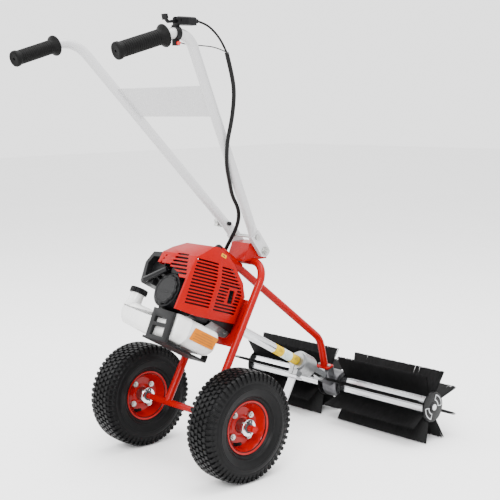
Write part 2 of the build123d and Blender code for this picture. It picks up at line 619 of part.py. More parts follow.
# ---------------------------------------------------------------- engine
def build_engine_block():
    with BuildPart() as clutch_housing:
        block(behind(2.05), 86, 86, 4, corner=10)
        bar(behind(2.05), 40, 38)
        bar(behind(40), 50, 29.9)
        bar(behind(-45), 19.2, 48)
        bar(behind(6.5), 36.5, 40, mode=Mode.SUBTRACT)
        bar(behind(42), 47.2, 30, mode=Mode.SUBTRACT)
        bar(behind(-46), DRIVE_TUBE + 0.03, 42, mode=Mode.SUBTRACT)
        bar(behind(-5), 8, 14, mode=Mode.SUBTRACT)
        with BuildSketch(behind(1)) as holes:
            with Locations(*PLATE_BOLTS):
                Circle(3.1)
        extrude(holes.sketch, amount=8, mode=Mode.SUBTRACT)
    save(clutch_housing, "clutch_housing")

    with BuildPart() as crankcase:
        block(behind(70, w=-2), 68, 64, 80, corner=12)
        bar(behind(70), CRANK_RADIUS + RUNNING, 80, mode=Mode.SUBTRACT)
        bar(behind(82), 27, 32, mode=Mode.SUBTRACT)
        bar(above(0, z=CYLINDER_Z), 21, 40, mode=Mode.SUBTRACT)
    save(crankcase, "crankcase")

    with BuildPart() as cylinder:
        bar(above(30, z=CYLINDER_Z), 26, 75)
        block(above(30.1, z=CYLINDER_Z), 58, 54, 5, corner=6)
        for fin in range(9):
            block(above(42 + 7.5 * fin, z=CYLINDER_Z), 78, 54, 2.6, corner=8)
        bar(above(29, z=CYLINDER_Z), BORE_RADIUS, 57, mode=Mode.SUBTRACT)
        bar(above(80, z=CYLINDER_Z), 5, 30, mode=Mode.SUBTRACT)
        bar(above(96, z=CYLINDER_Z), 11.5, 20, mode=Mode.SUBTRACT)
    save(cylinder, "cylinder")

    with BuildPart() as spark_plug:
        bar(above(88, z=CYLINDER_Z), 4.95, 8.4)
        with BuildSketch(above(96.1, z=CYLINDER_Z)) as flats:
            RegularPolygon(9.5, 6, major_radius=False)
        extrude(flats.sketch, amount=8)
        bar(above(104, z=CYLINDER_Z), 6.5, 10)
        bar(above(113.5, z=CYLINDER_Z), 7.6, 5)
    save(spark_plug, "spark_plug")

    with BuildPart() as piston:
        bar(above(40, z=CYLINDER_Z), BORE_RADIUS - RUNNING, 28)
        bar(above(39, z=CYLINDER_Z), 16, 22, mode=Mode.SUBTRACT)
        for groove in (60.5, 63.5):
            bar(above(groove, z=CYLINDER_Z), 21, 1.4, bore=18.6, mode=Mode.SUBTRACT)
        with BuildSketch(behind(CYLINDER_Z - 17, w=52)) as pin:
            Circle(4.5)
        extrude(pin.sketch, amount=34)
    save(piston, "piston")

    with BuildPart() as crankshaft:
        bar(behind(14), CRANK_RADIUS, 72)
        bar(behind(84), 23, 9)
        bar(behind(92, x=14), 5, 12)
        bar(behind(103), 23, 9)
        bar(behind(110), CRANK_RADIUS, 60)
    save(crankshaft, "crankshaft")

    with BuildPart() as flywheel:
        bar(behind(46), FLYWHEEL_RADIUS, 5)
        bar(behind(46), 14, 20)
        with BuildSketch(behind(51)) as fins:
            with PolarLocations(31, 14):
                Rectangle(24, 3)
        extrude(fins.sketch, amount=14)
        bar(behind(40), CRANK_RADIUS + 0.02, 30, mode=Mode.SUBTRACT)
    save(flywheel, "flywheel")

    with BuildPart() as clutch_shoes:
        bar(behind(15), 13, 20, bore=CRANK_RADIUS + 0.02)
        for shoe in range(3):
            with BuildSketch(behind(15)) as pad:
                Circle(28.5)
                Circle(14.5, mode=Mode.SUBTRACT)
                for edge in (-1, 1):
                    with Locations(Location((0, 0), 120 * shoe + 60 * edge)):
                        Rectangle(80, 6, align=(Align.MIN, Align.CENTER), mode=Mode.SUBTRACT)
                with Locations(Location((0, 0), 120 * shoe + 180)):
                    Rectangle(80, 120, align=(Align.MIN, Align.CENTER), mode=Mode.SUBTRACT)
            extrude(pad.sketch, amount=18)
            with BuildSketch(behind(20)) as link:
                with Locations(Location((0, 0), 120 * shoe)):
                    with Locations((14, 0)):
                        Rectangle(8, 5)
            extrude(link.sketch, amount=6)
    save(clutch_shoes, "clutch_shoes")


def shroud_form(inset):
    """The cover's outer form, or its inside when inset is the wall."""
    lower = 14 * inset
    with BuildPart() as form:
        with BuildSketch(side(SHROUD_RIGHT)) as profile:
            with BuildLine():
                Polyline((-2 - lower, -4 - lower), (150, -37 - lower), (206 - lower / 18, -42 - lower),
                         (206, 62), (203, 90), (158, 134), (140, 139), (128, 137), (86, 121),
                         (36, 80), (14, 64), (-2 - lower, 60), close=True)
            make_face()
            offset(amount=-inset)
        extrude(profile.sketch, amount=SHROUD_RIGHT + SHROUD_LEFT)
        with BuildSketch(behind(-60)) as section:
            with BuildLine():
                Polyline((-SHROUD_LEFT, -110), (SHROUD_RIGHT, -110), (SHROUD_RIGHT, 58), (58, 140),
                         (-40, 140), (-SHROUD_LEFT, 112), close=True)
            make_face()
            offset(amount=-inset)
        extrude(section.sketch, amount=300, mode=Mode.INTERSECT)
        with BuildSketch(above(-110)) as plan:
            with BuildLine():
                Polyline((-SHROUD_LEFT, 60), (56, 60), (58, 0), (80, -60), (SHROUD_RIGHT, -122),
                         (68, -210), (-SHROUD_LEFT, -210), close=True)
            make_face()
            offset(amount=-inset)
        extrude(plan.sketch, amount=300, mode=Mode.INTERSECT)
    return form.part


def slot_row(plane, centre, length, height, turn, depth):
    """One cooling slot with round ends, cut through the wall that plane looks at."""
    with BuildSketch(plane) as slot:
        with Locations(Location((centre[0], centre[1]), turn)):
            RectangleRounded(length, height, height / 2 - 0.05)
    extrude(slot.sketch, amount=depth, mode=Mode.SUBTRACT)


def build_shroud():
    with BuildPart() as engine_shroud:
        add(shroud_form(0.0))
        ridges = engine_shroud.edges().filter_by(lambda edge: edge.length > 30)
        fillet(ridges.group_by(SortBy.LENGTH)[-1], 2.0)
        add(shroud_form(SHROUD_WALL), mode=Mode.SUBTRACT)
        # open left side at the carburettor and open rear round the starter
        block(behind(5, x=-77, w=10), 126, 150, 182, mode=Mode.SUBTRACT)
        block(behind(150, x=-37.5, w=-12), 200, 90, 80, mode=Mode.SUBTRACT)
        block(behind(180, x=-77, w=8), 136, 106, 60, mode=Mode.SUBTRACT)
        bar(behind(120), STARTER_RADIUS + 4.5, 100, mode=Mode.SUBTRACT)
        # the mouth at the engine plate and the cable's way in
        block(behind(-20, w=5), 190, 150, 33.5, mode=Mode.SUBTRACT)
        block(behind(-5, x=-70, w=100), 90, 60, 115, mode=Mode.SUBTRACT)
        # slots: two columns on the right that rise towards the front, one on the rear
        for row in range(14):
            w = -6 + SLOT_PITCH * row
            lean = row * 0.75
            slot_row(side(SHROUD_RIGHT + 4), (158 + lean, w - 6), 66, SLOT_HEIGHT, -SLOT_TURN, 46)
            front = 30 + max(0.0, w - 40) * 0.92
            rear_end = 114 + lean
            pieces = [(front, rear_end)] if not 16 < w < 58 else [(front, 58), (86, rear_end)]
            for start, end in pieces:
                middle = (start + end) / 2
                drop = (middle - 118) * tan(radians(SLOT_TURN))
                slot_row(side(SHROUD_RIGHT + 4), (middle, w - drop), end - start, SLOT_HEIGHT,
                         -SLOT_TURN, 46)
        for row in range(6):
            w = 43 + 9.4 * row
            left_end, right_end = -16 + 2.4 * row, 60 - 4.4 * row
            slot_row(behind(180), ((left_end + right_end) / 2, w), right_end - left_end, 5.2, 0, 40)
        for w in (63, 72, 81):
            bar(behind(180, x=-47 + (w - 63) * 0.4, w=w), 2.6, 40, mode=Mode.SUBTRACT)
        with BuildSketch(side(SHROUD_RIGHT + 4)) as hatch:
            with Locations(Location((72, 42), -SLOT_TURN)):
                RectangleRounded(17, 32, 2)
        extrude(hatch.sketch, amount=44, mode=Mode.SUBTRACT)
    with BuildPart() as cover:      # without the crumb that two slots leave between them
        add(engine_shroud.solids().sort_by(SortBy.VOLUME)[-1])
    save(cover, "engine_shroud")


def build_engine_fittings():
    with BuildPart() as muffler:
        block(above(40, x=52.5, z=100), 23, 68, 50, corner=7)
        block(behind(88, x=40.5, w=56), 3, 24, 20)
        bar(behind(62, x=53, w=52), 6, 6)
    save(muffler, "muffler")

    with BuildPart() as carburettor:
        block(above(38, x=-58, z=100), 32, 32, 34, corner=4)
        block(above(40, x=-41, z=100), 3.6, 40, 28)
        bar(behind(116, x=-58, w=54), 12, 5.9)
        bar(across(-79, *yz_of(0, 30, 96)), 7, 8)
        bar(above(30, x=-68, z=96), 5, 9)
    save(carburettor, "carburettor")

    with BuildPart() as primer_bulb:
        centre_y, centre_z = yz_of(0, 30, 96)
        bar(across(-82.5, centre_y, centre_z), 8.5, 3.2)
        bar(across(-89, centre_y, centre_z), 6.5, 8)
        fillet(primer_bulb.faces().sort_by(Axis.X)[0].edges(), 3)
        bar(across(-84, centre_y, centre_z), 7.2, 8, mode=Mode.SUBTRACT)
    save(primer_bulb, "primer_bulb")

    with BuildPart() as choke_lever:
        y, z = yz_of(0, 60, 100)
        bar(across(-80, y, z), 6, 3)
        bar(across(-77.1, y, z), 3, 3)
        block(Plane(origin=(-78.5, y, z), x_dir=(1, 0, 0), z_dir=(0, LEAN_SIN, LEAN_COS)), 3, 7, 24,
              corner=1)
        bar(across(-90, *yz_of(0, 84, 100)), 4.5, 13)
    save(choke_lever, "choke_lever")

    with BuildPart() as air_filter_cover:
        prism(behind(122), [(-114, 10), (-124, 60), (-108, 90), (-72, 92), (-67, 86), (-67, 8),
                            (-108, 6)], 72)
        fillet(air_filter_cover.edges().filter_by(Axis(drive_plane.origin, REAR_UP)), 5)
        fillet(air_filter_cover.faces().sort_by(Axis(drive_plane.origin, REAR_UP))[-1].edges(), 4)
        prism(behind(176), [(-102, 26), (-110, 58), (-99, 77), (-60, 79), (-60, 26)], 20,
              mode=Mode.SUBTRACT)
        prism(behind(121), [(-110, 14), (-119, 58), (-105, 84), (-74, 87), (-72, 12)], 50,
              mode=Mode.SUBTRACT)
    save(air_filter_cover, "air_filter_cover")

    with BuildPart() as starter_housing:
        with BuildSketch(behind(150.1)) as base:
            Circle(STARTER_RADIUS)
        with BuildSketch(behind(168)) as waist:
            Circle(STARTER_RADIUS)
        loft([base.sketch, waist.sketch])
        with BuildSketch(behind(196)) as rim:
            Circle(STARTER_RADIUS - 3.5)
        loft([waist.sketch, rim.sketch])
        block(behind(152, x=4, w=-7), 112, 70, 7, corner=6)
        bar(behind(150.1, *ROPE_EXIT), 10.5, 34)
        out = Vector(*ROPE_EXIT).normalized()
        square = Vector(-out.Y, out.X)
        spine = [out * 10 + square * 26, Vector(*ROPE_EXIT) + square * 10.4,
                 Vector(*ROPE_EXIT) - square * 10.4, out * 10 - square * 26]
        prism(behind(150.1), [(point.X, point.Y) for point in spine], 34)
        bar(behind(150), 41, 38, mode=Mode.SUBTRACT)
        bar(behind(150, *ROPE_EXIT), 3, 40, mode=Mode.SUBTRACT)
    save(starter_housing, "starter_housing")

    with BuildPart() as starter_cap:
        with BuildSketch(behind(196.1)) as face:
            Circle(36)
            with PolarLocations(35, 16):
                Circle(4)
        extrude(face.sketch, amount=6)
        fillet(starter_cap.faces().sort_by(Axis(drive_plane.origin, REAR_UP))[-1].edges(), 1.2)
        bar(behind(200.8), 30, 4, bore=28.6, mode=Mode.SUBTRACT)
    save(starter_cap, "starter_cap")

    with BuildPart() as starter_handle:
        x, w = ROPE_EXIT
        reach = Vector(HANDLE_GRIP_WAY[0], HANDLE_GRIP_WAY[1]).normalized() * 39
        start = drive_plane.from_local_coords((x - reach.X, w - reach.Y, 202.3))
        end = drive_plane.from_local_coords((x + reach.X, w + reach.Y, 202.3))
        bar(between(start, end), 7.0, 78)
        fillet(starter_handle.edges(), 3.0)
        bar(behind(185, x, w), 5.2, 14)
    save(starter_handle, "starter_handle")


def yz_of(x, w, z):
    """Y and Z of a point given right, up and rearwards from the engine plate's centre."""
    point = drive_plane.from_local_coords((x, w, z))
    return point.Y, point.Z


def build_fuel():
    with BuildPart() as fuel_tank:
        prism(behind(56), [(-140, -96), (-20, -112), (64, -110), (82, -94), (82, -56), (74, -46),
                           (38, -46), (28, -54), (-60, -51), (-104, -42), (-150, -42),
                           (-156, -66)], 132)
        fillet(fuel_tank.edges().filter_by(Axis(drive_plane.origin, REAR_UP)), 6)
        ends = fuel_tank.faces().sort_by(Axis(drive_plane.origin, REAR_UP))
        fillet(ends[-1].edges() + ends[0].edges(), 5)
        bar(above(-56, *CAP_PLACE), 17, 46)
    save(fuel_tank, "fuel_tank")

    with BuildPart() as fuel_cap:
        with BuildSketch(above(-18, *CAP_PLACE)) as grip:
            Circle(21)
            with PolarLocations(21, 24):
                Rectangle(2.4, 2.6)
            Circle(17.1, mode=Mode.SUBTRACT)
        extrude(grip.sketch, amount=14)
        bar(above(-8, *CAP_PLACE), 20, 6)
    save(fuel_cap, "fuel_cap")

    with BuildPart() as tank_guard:
        prism(behind(192), [(-14, -47), (64, -50), (72, -122), (-4, -122)], 8)
        prism(behind(190), [(4, -66), (46, -68), (48, -80), (4, -80)], 12, mode=Mode.SUBTRACT)
        prism(behind(190), [(6, -89), (50, -89), (54, -112), (8, -112)], 12, mode=Mode.SUBTRACT)
        block(above(-122, x=20, z=124), 76, 150, 5, corner=3)
        block(above(-49.9, x=12, z=172), 26, 44, 3.2)
        block(above(-118, x=48, z=52), 18, 5, 14)
    save(tank_guard, "tank_guard")


# ---------------------------------------------------------------- controls and cables
def build_controls():
    top = ahead(CONTROL)
    band = Plane(origin=top - Vector(0, 0, 12.2), z_dir=(0.015, -1, 0))
    with BuildPart() as throttle_clamp:
        bar(band.offset(-6), 15, 12)
        block(Plane(origin=band.origin - Vector(0, 0, 25), x_dir=(1, 0, 0), z_dir=(0, 0, 1)), 13, 12,
              16, corner=2)
        bar(band.offset(-8), 12.3, 16, mode=Mode.SUBTRACT)
        bar(across(top.X + 2.4, top.Y, top.Z - 32.5), 4.3, 5, mode=Mode.SUBTRACT)
        block(Plane(origin=(top.X, top.Y, top.Z + 1.5), x_dir=(1, 0, 0), z_dir=(0, 0, 1)), 12, 12, 3)
    save(throttle_clamp, "throttle_clamp")

    with BuildPart() as throttle_body:
        base = Plane(origin=(top.X, top.Y + 24, top.Z + 4.6), x_dir=(1, 0, 0), z_dir=(0, 0, 1))
        prism(base, [(-11, -24), (-13, 0), (-9, 26), (9, 26), (13, 0), (11, -24)], 17)
        fillet(throttle_body.edges().filter_by(Axis.Z), 3)
        chamfer(throttle_body.faces().sort_by(Axis.Z)[-1].edges(), 2.5)
        bar(Plane(origin=(top.X, top.Y + 49, top.Z + 14), z_dir=(0, 1, 0)), 4.6, 9)
        block(Plane(origin=(top.X, top.Y - 1, top.Z + 8.6), x_dir=(1, 0, 0), z_dir=(0, 0, 1)), 6.4,
              36, 20, mode=Mode.SUBTRACT)
        bar(across(top.X - 20, top.Y + 8, top.Z + 13.6), 2.02, 40, mode=Mode.SUBTRACT)
        bar(Plane(origin=(top.X, top.Y + 46, top.Z + 14), z_dir=(0, 1, 0)), 2.6, 20,
            mode=Mode.SUBTRACT)
        bar(across(top.X - 13, top.Y + 8, top.Z + 13.6), 2.0, 26)
    save(throttle_body, "throttle_body")

    with BuildPart() as throttle_lever:
        with BuildSketch(across(top.X - 2.6, top.Y + 8, top.Z + 13.6)) as arm:
            Circle(4.4)
            with BuildLine():
                Polyline((-2, -4), (-28, -6.5), (-37, 2), (-39, 12), (-33, 12), (-31, 4),
                         (-26, -1), (-2, 4), close=True)
            make_face()
            Circle(2.05, mode=Mode.SUBTRACT)
        extrude(arm.sketch, amount=5.2)
        with BuildSketch(across(top.X - 7, top.Y + 8, top.Z + 13.6)) as pad:
            with BuildLine():
                Polyline((-36.5, 0), (-39, 12), (-33, 12), (-31, 3), close=True)
            make_face()
        extrude(pad.sketch, amount=14)
    save(throttle_lever, "throttle_lever")

    with BuildPart() as stop_switch:
        bar(across(top.X + 4.6, top.Y, top.Z - 32.5), 4, 6)
    save(stop_switch, "stop_switch")


def cable(points, radius):
    """A flexible line along its route: straight runs joined by arcs as large as the runs allow."""
    turns = []
    for before, here, after in zip(points, points[1:], points[2:]):
        shorter = min((here - before).length, (after - here).length)
        turn = radians((here - before).get_angle(after - here))
        turns.append(0.45 * shorter / tan(turn / 2))
    with BuildLine() as route:
        FilletPolyline(*points, radius=turns)
    with BuildSketch(Plane(origin=route.line @ 0, z_dir=route.line % 0)) as section:
        Circle(radius)
    sweep(section.sketch, path=route.line)
    length = sum(edge.length for edge in route.edges())
    print("cable", round(length), "mm, least radius", round(min(turns)))


def build_cables():
    top = ahead(CONTROL)
    with BuildPart() as cable_conduit:
        cable([ahead(point) for point in CONDUIT_ROUTE]
              + [drive_plane.from_local_coords(point) for point in CONDUIT_IN_ENGINE], 4.75)
    save(cable_conduit, "cable_conduit")
    with BuildPart() as throttle_cable:
        cable([ahead(point) for point in CABLE_ROUTE], 2.4)
        cable([ahead(point) for point in WIRE_ROUTE], 1.2)
    save(throttle_cable, "throttle_cable")


build_frame()
build_wheel("left", -TRACK_HALF)
build_wheel("right", TRACK_HALF)
build_handle("right", lambda point: point)
build_handle("left", left)
build_grips()
build_handle_plate()
build_handle_bolts()
build_roller()
build_drive()
build_engine_block()
build_shroud()
build_engine_fittings()
build_fuel()
build_controls()
build_cables()
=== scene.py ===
import json
import math
import random

import bmesh
import bpy
import numpy as np
from mathutils import Matrix, Vector


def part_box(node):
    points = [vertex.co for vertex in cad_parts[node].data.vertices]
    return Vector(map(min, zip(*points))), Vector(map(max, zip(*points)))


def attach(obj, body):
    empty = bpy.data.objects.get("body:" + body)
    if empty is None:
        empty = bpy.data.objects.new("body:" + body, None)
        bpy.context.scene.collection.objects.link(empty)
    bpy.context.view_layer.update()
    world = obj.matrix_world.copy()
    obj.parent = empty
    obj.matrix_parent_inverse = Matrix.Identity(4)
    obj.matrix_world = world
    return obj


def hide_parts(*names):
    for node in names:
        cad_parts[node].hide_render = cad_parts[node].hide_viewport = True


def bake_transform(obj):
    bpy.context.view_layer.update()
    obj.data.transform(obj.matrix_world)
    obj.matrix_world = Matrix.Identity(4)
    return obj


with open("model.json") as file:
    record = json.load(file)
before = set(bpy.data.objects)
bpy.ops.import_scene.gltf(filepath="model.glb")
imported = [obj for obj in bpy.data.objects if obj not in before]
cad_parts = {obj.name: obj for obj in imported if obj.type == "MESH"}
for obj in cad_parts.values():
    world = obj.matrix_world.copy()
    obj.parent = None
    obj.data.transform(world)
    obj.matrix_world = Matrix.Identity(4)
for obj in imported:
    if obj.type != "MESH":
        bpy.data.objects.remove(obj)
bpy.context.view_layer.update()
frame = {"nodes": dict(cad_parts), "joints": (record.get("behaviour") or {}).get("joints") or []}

NODES = frame["nodes"]
JOINTS = {joint["name"]: joint for joint in frame["joints"]}
random.seed(7)


def box_of(node):
    """A CAD node's lowest corner, highest corner and middle."""
    low, high = (Vector(corner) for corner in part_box(node))
    return low, high, (low + high) / 2


# ------------------------------------------------------------------ directions of the machine
LEAN = math.radians(30)
REAR_UP = Vector((0, -math.cos(LEAN), math.sin(LEAN)))    # along the drive line, to the operator
UP_PERP = Vector((0, math.sin(LEAN), math.cos(LEAN)))
RIGHT, FORWARD, UP = Vector((1, 0, 0)), Vector((0, 1, 0)), Vector((0, 0, 1))
AXLE_Y = box_of("hub_right")[2].y
BRUSH_MID = box_of("output_gear")[2]
BRUSH_MID.x = 0
CRANK = Vector(JOINTS["crank_spin"]["pos_m"])


def ground(x, y, z):
    """Millimetres from the ground under the axle, as the CAD route is written, in metres."""
    return Vector((x, y, z)) / 1000 + Vector((0, AXLE_Y, 0))


def drive(x, w, z):
    """Millimetres right, up and rearwards from the engine plate's centre, in metres."""
    return CRANK + (RIGHT * x + UP_PERP * w + REAR_UP * z) / 1000


# ------------------------------------------------------------------ materials
def new_material(name):
    material = bpy.data.materials.new(name)
    material.use_nodes = True
    shader = material.node_tree.nodes["Principled BSDF"]
    return material, material.node_tree, shader


def add_node(tree, kind, **inputs):
    node = tree.nodes.new(kind)
    for key, value in inputs.items():
        node.inputs[key.replace("_", " ")].default_value = value
    return node


def noise(tree, scale, detail=3.0):
    coords = tree.nodes.new("ShaderNodeTexCoord")
    texture = add_node(tree, "ShaderNodeTexNoise", Scale=scale, Detail=detail, Roughness=0.55)
    tree.links.new(coords.outputs["Object"], texture.inputs["Vector"])
    return texture.outputs["Fac"]


def colours(tree, shader, source, low, high):
    """Base colour that runs from one (place, colour) stop to the other."""
    node = tree.nodes.new("ShaderNodeValToRGB")
    for element, (place, colour) in zip(node.color_ramp.elements, (low, high)):
        element.position = place
        element.color = (*colour, 1)
    tree.links.new(source, node.inputs["Fac"])
    tree.links.new(node.outputs["Color"], shader.inputs["Base Color"])


def roughness(tree, shader, source, low, high):
    node = add_node(tree, "ShaderNodeMapRange", To_Min=low, To_Max=high)
    tree.links.new(source, node.inputs["Value"])
    tree.links.new(node.outputs["Result"], shader.inputs["Roughness"])


def bump(tree, shader, source, strength, distance):
    node = add_node(tree, "ShaderNodeBump", Strength=strength, Distance=distance)
    tree.links.new(source, node.inputs["Height"])
    tree.links.new(node.outputs["Normal"], shader.inputs["Normal"])


def shade(colour, by):
    return tuple(min(1, max(0, c * by)) for c in colour)


def plain(name, colour, rough, *, bump_by, metal=0.0, vary=0.12, grain=60.0, bump_scale=900.0,
          coat=0.0, coat_rough=0.05, specular=0.5):
    """A finish with slight changes of colour and roughness, and a fine surface grain."""
    material, tree, shader = new_material(name)
    colours(tree, shader, noise(tree, grain),
            (0.3, shade(colour, 1 - vary)), (0.7, shade(colour, 1 + vary)))
    roughness(tree, shader, noise(tree, grain * 2.3), max(0.02, rough - 0.06), rough + 0.06)
    shader.inputs["Metallic"].default_value = metal
    shader.inputs["Coat Weight"].default_value = coat
    shader.inputs["Coat Roughness"].default_value = coat_rough
    shader.inputs["Specular IOR Level"].default_value = specular
    bump(tree, shader, noise(tree, bump_scale, 4), bump_by, 0.0004)
    return material


def bristle_material():
    """Black bristle with fine lengthwise streaks of lighter and darker strands."""
    material, tree, shader = new_material("bristle_fibre")
    coords = tree.nodes.new("ShaderNodeTexCoord")
    stretch = tree.nodes.new("ShaderNodeMapping")
    stretch.inputs["Scale"].default_value = (520, 60, 60)
    tree.links.new(coords.outputs["Object"], stretch.inputs["Vector"])
    strands = add_node(tree, "ShaderNodeTexNoise", Scale=1.0, Detail=3.0)
    tree.links.new(stretch.outputs["Vector"], strands.inputs["Vector"])
    source = strands.outputs["Fac"]
    colours(tree, shader, source, (0.35, (0.0008, 0.0008, 0.0008)), (0.7, (0.006, 0.006, 0.0065)))
    roughness(tree, shader, source, 0.45, 0.75)
    shader.inputs["Specular IOR Level"].default_value = 0.12
    bump(tree, shader, source, 0.6, 0.0006)
    return material


def tank_material():
    """Milky blow-moulded plastic that lets light pass a little way in."""
    material, tree, shader = new_material("tank_plastic")
    colours(tree, shader, noise(tree, 18), (0.3, (0.62, 0.62, 0.61)), (0.7, (0.69, 0.69, 0.68)))
    roughness(tree, shader, noise(tree, 60), 0.2, 0.34)
    shader.inputs["Subsurface Weight"].default_value = 0.35
    shader.inputs["Subsurface Radius"].default_value = (0.02, 0.02, 0.018)
    shader.inputs["Subsurface Scale"].default_value = 0.5
    shader.inputs["Coat Weight"].default_value = 0.25
    bump(tree, shader, noise(tree, 90, 2), 0.08, 0.001)
    return material


red_enamel = plain("red_enamel", (0.235, 0.0, 0.0002), 0.26, vary=0.04, coat=0.08,
                   bump_scale=260, bump_by=0.02, specular=0.07)
rim_enamel = plain("rim_enamel", (0.245, 0.0, 0.0002), 0.2, vary=0.04, coat=0.12,
                   bump_scale=240, bump_by=0.02, specular=0.15)
red_plastic = plain("red_plastic", (0.245, 0.0, 0.0002), 0.34, vary=0.05, coat=0.02,
                    coat_rough=0.2, bump_scale=1500, bump_by=0.04, specular=0.06)
white_enamel = plain("white_enamel", (0.40, 0.40, 0.405), 0.28, vary=0.02, coat=0.3,
                     bump_scale=260, bump_by=0.03)
zinc = plain("zinc_plate", (0.42, 0.42, 0.405), 0.32, metal=1.0, grain=120, bump_by=0.1)
machined = plain("machined_steel", (0.50, 0.50, 0.51), 0.3, metal=1.0, vary=0.1, bump_by=0.1)
cast_alloy = plain("cast_alloy", (0.30, 0.305, 0.31), 0.42, metal=1.0, grain=90,
                   bump_scale=700, bump_by=0.35)
dark_alloy = plain("dark_alloy", (0.055, 0.055, 0.058), 0.55, metal=0.4, vary=0.2, grain=90,
                   bump_scale=700, bump_by=0.35, specular=0.3)
bright_alloy = plain("bright_alloy", (0.62, 0.63, 0.65), 0.2, metal=1.0, vary=0.05, grain=30,
                     bump_scale=300, bump_by=0.04)
gear_metal = plain("gear_case_metal", (0.12, 0.12, 0.127), 0.42, metal=0.85, vary=0.25, grain=80,
                   bump_scale=800, bump_by=0.3)
pressed_steel = plain("pressed_steel", (0.50, 0.51, 0.525), 0.38, metal=0.6, vary=0.06,
                      bump_by=0.1)
black_plastic = plain("black_plastic", (0.0035, 0.0035, 0.004), 0.42, vary=0.3, grain=140,
                      bump_scale=2600, bump_by=0.25, specular=0.1)
gloss_black = plain("gloss_black", (0.003, 0.003, 0.0035), 0.28, vary=0.3, bump_scale=1800,
                    bump_by=0.1, specular=0.16)
grey_plastic = plain("grey_plastic", (0.0065, 0.0066, 0.0070), 0.44, vary=0.18, grain=140,
                     bump_scale=2400, bump_by=0.3, specular=0.12)
dark_rubber = plain("dark_rubber", (0.003, 0.003, 0.003), 0.6, vary=0.3, grain=200,
                    bump_scale=2200, bump_by=0.35, specular=0.08)
tyre_rubber = plain("tyre_rubber", (0.0022, 0.0022, 0.0024), 0.42, vary=0.35, grain=70,
                    bump_scale=1400, bump_by=0.3, specular=0.1)
cable_rubber = plain("cable_rubber", (0.003, 0.003, 0.003), 0.4, vary=0.2, bump_scale=1500,
                     bump_by=0.1, specular=0.12)
cord_braid = plain("starter_cord", (0.006, 0.006, 0.006), 0.7, vary=0.4, grain=900, bump_by=0.4)
primer_gum = plain("primer_gum", (0.45, 0.01, 0.006), 0.3, vary=0.1, bump_by=0.05)
orange_print = plain("orange_print", (0.44, 0.125, 0.0), 0.5, vary=0.06, bump_by=0.02,
                     specular=0.08)
amber_print = plain("amber_print", (0.50, 0.20, 0.0), 0.4, vary=0.06, bump_by=0.02,
                    specular=0.08)
yellow_print = plain("yellow_print", (0.50, 0.33, 0.0), 0.4, vary=0.06, bump_by=0.02,
                     specular=0.08)
pale_print = plain("pale_print", (0.42, 0.52, 0.50), 0.4, vary=0.25, grain=300, bump_by=0.02)
dark_print = plain("dark_print", (0.02, 0.012, 0.01), 0.4, vary=0.1, bump_by=0.02)
bristle_fibre = bristle_material()
tank_plastic = tank_material()

# the CAD nodes that each material finishes
FINISHES = (
    (red_enamel, "frame_hoop engine_plate sleeve_tube support_tube handle_bracket axle "
                 "rim_left rim_right"),
    (red_plastic, "engine_shroud"),
    (white_enamel, "handle_tube_left handle_tube_right handle_plate"),
    (zinc, "hub_left hub_right frame_bolts pivot_bolts lock_knob"),
    (machined, "drive_shaft crankshaft clutch_shoes drive_pinion output_gear"),
    (cast_alloy, "gear_clamp clutch_housing piston"),
    (dark_alloy, "crankcase cylinder flywheel muffler carburettor wheel_retainers"),
    (bright_alloy, "brush_core drive_tube"),
    (gear_metal, "gearbox_housing"),
    (pressed_steel, "stand_leg"),
    (primer_gum, "primer_bulb stop_switch"),
    (black_plastic, "starter_housing throttle_clamp throttle_body throttle_lever shaft_bushes "
                    "choke_lever fuel_cap"),
    (gloss_black, "brush_discs spark_plug starter_handle"),
    (grey_plastic, "tank_guard starter_cap air_filter_cover"),
    (dark_rubber, "grips shaft_cover tyre_left tyre_right bristle_strips fuel_tank"),
    (cable_rubber, "cable_conduit throttle_cable"),
)
for finish, names in FINISHES:
    for name in names.split():
        NODES[name].data.materials.clear()
        NODES[name].data.materials.append(finish)


# ------------------------------------------------------------------ mesh helpers
def add_object(name, bm, *materials, smooth=True):
    mesh = bpy.data.meshes.new(name)
    bm.to_mesh(mesh)
    bm.free()
    for material in materials:
        mesh.materials.append(material)
    if smooth:
        for polygon in mesh.polygons:
            polygon.use_smooth = True
    piece = bpy.data.objects.new(name, mesh)
    bpy.context.collection.objects.link(piece)
    return piece


def solid(name, bm, material, sharp):
    """A piece with its faces turned outwards, and smooth but for edges over sharp degrees."""
    bmesh.ops.recalc_face_normals(bm, faces=bm.faces)
    piece = add_object(name, bm, material)
    piece.data.set_sharp_from_angle(angle=math.radians(sharp))
    return piece


def carry(piece, body, slot, *nodes):
    """Makes a piece ride on a body, in place of the CAD nodes named. The slot is not used."""
    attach(piece, body)
    if nodes:
        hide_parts(*nodes)


def flattened(piece):
    """The mesh that an object comes out as, after its modifiers or its curve's bevel."""
    graph = bpy.context.evaluated_depsgraph_get()
    return bpy.data.meshes.new_from_object(piece.evaluated_get(graph))


def moulded(name, material, width):
    """A copy of a CAD node's shape with its edges rounded."""
    bm = bmesh.new()
    bm.from_mesh(NODES[name].data)
    bmesh.ops.remove_doubles(bm, verts=bm.verts, dist=1e-6)
    bmesh.ops.dissolve_limit(bm, angle_limit=math.radians(1.5), verts=bm.verts, edges=bm.edges)
    piece = add_object(name + "_finish", bm, material)
    bevel = piece.modifiers.new("edges", "BEVEL")
    bevel.width, bevel.segments, bevel.limit_method = width, 3, "ANGLE"
    bevel.angle_limit = math.radians(28)
    bevel.use_clamp_overlap = True
    mesh = flattened(piece)
    piece.modifiers.clear()
    piece.data = mesh
    mesh.set_sharp_from_angle(angle=math.radians(35))
    return piece


def bridge(bm, low, high):
    """Quads between two closed rings of the same number of vertices."""
    for i in range(len(low)):
        j = (i + 1) % len(low)
        bm.faces.new((low[i], low[j], high[j], high[i]))


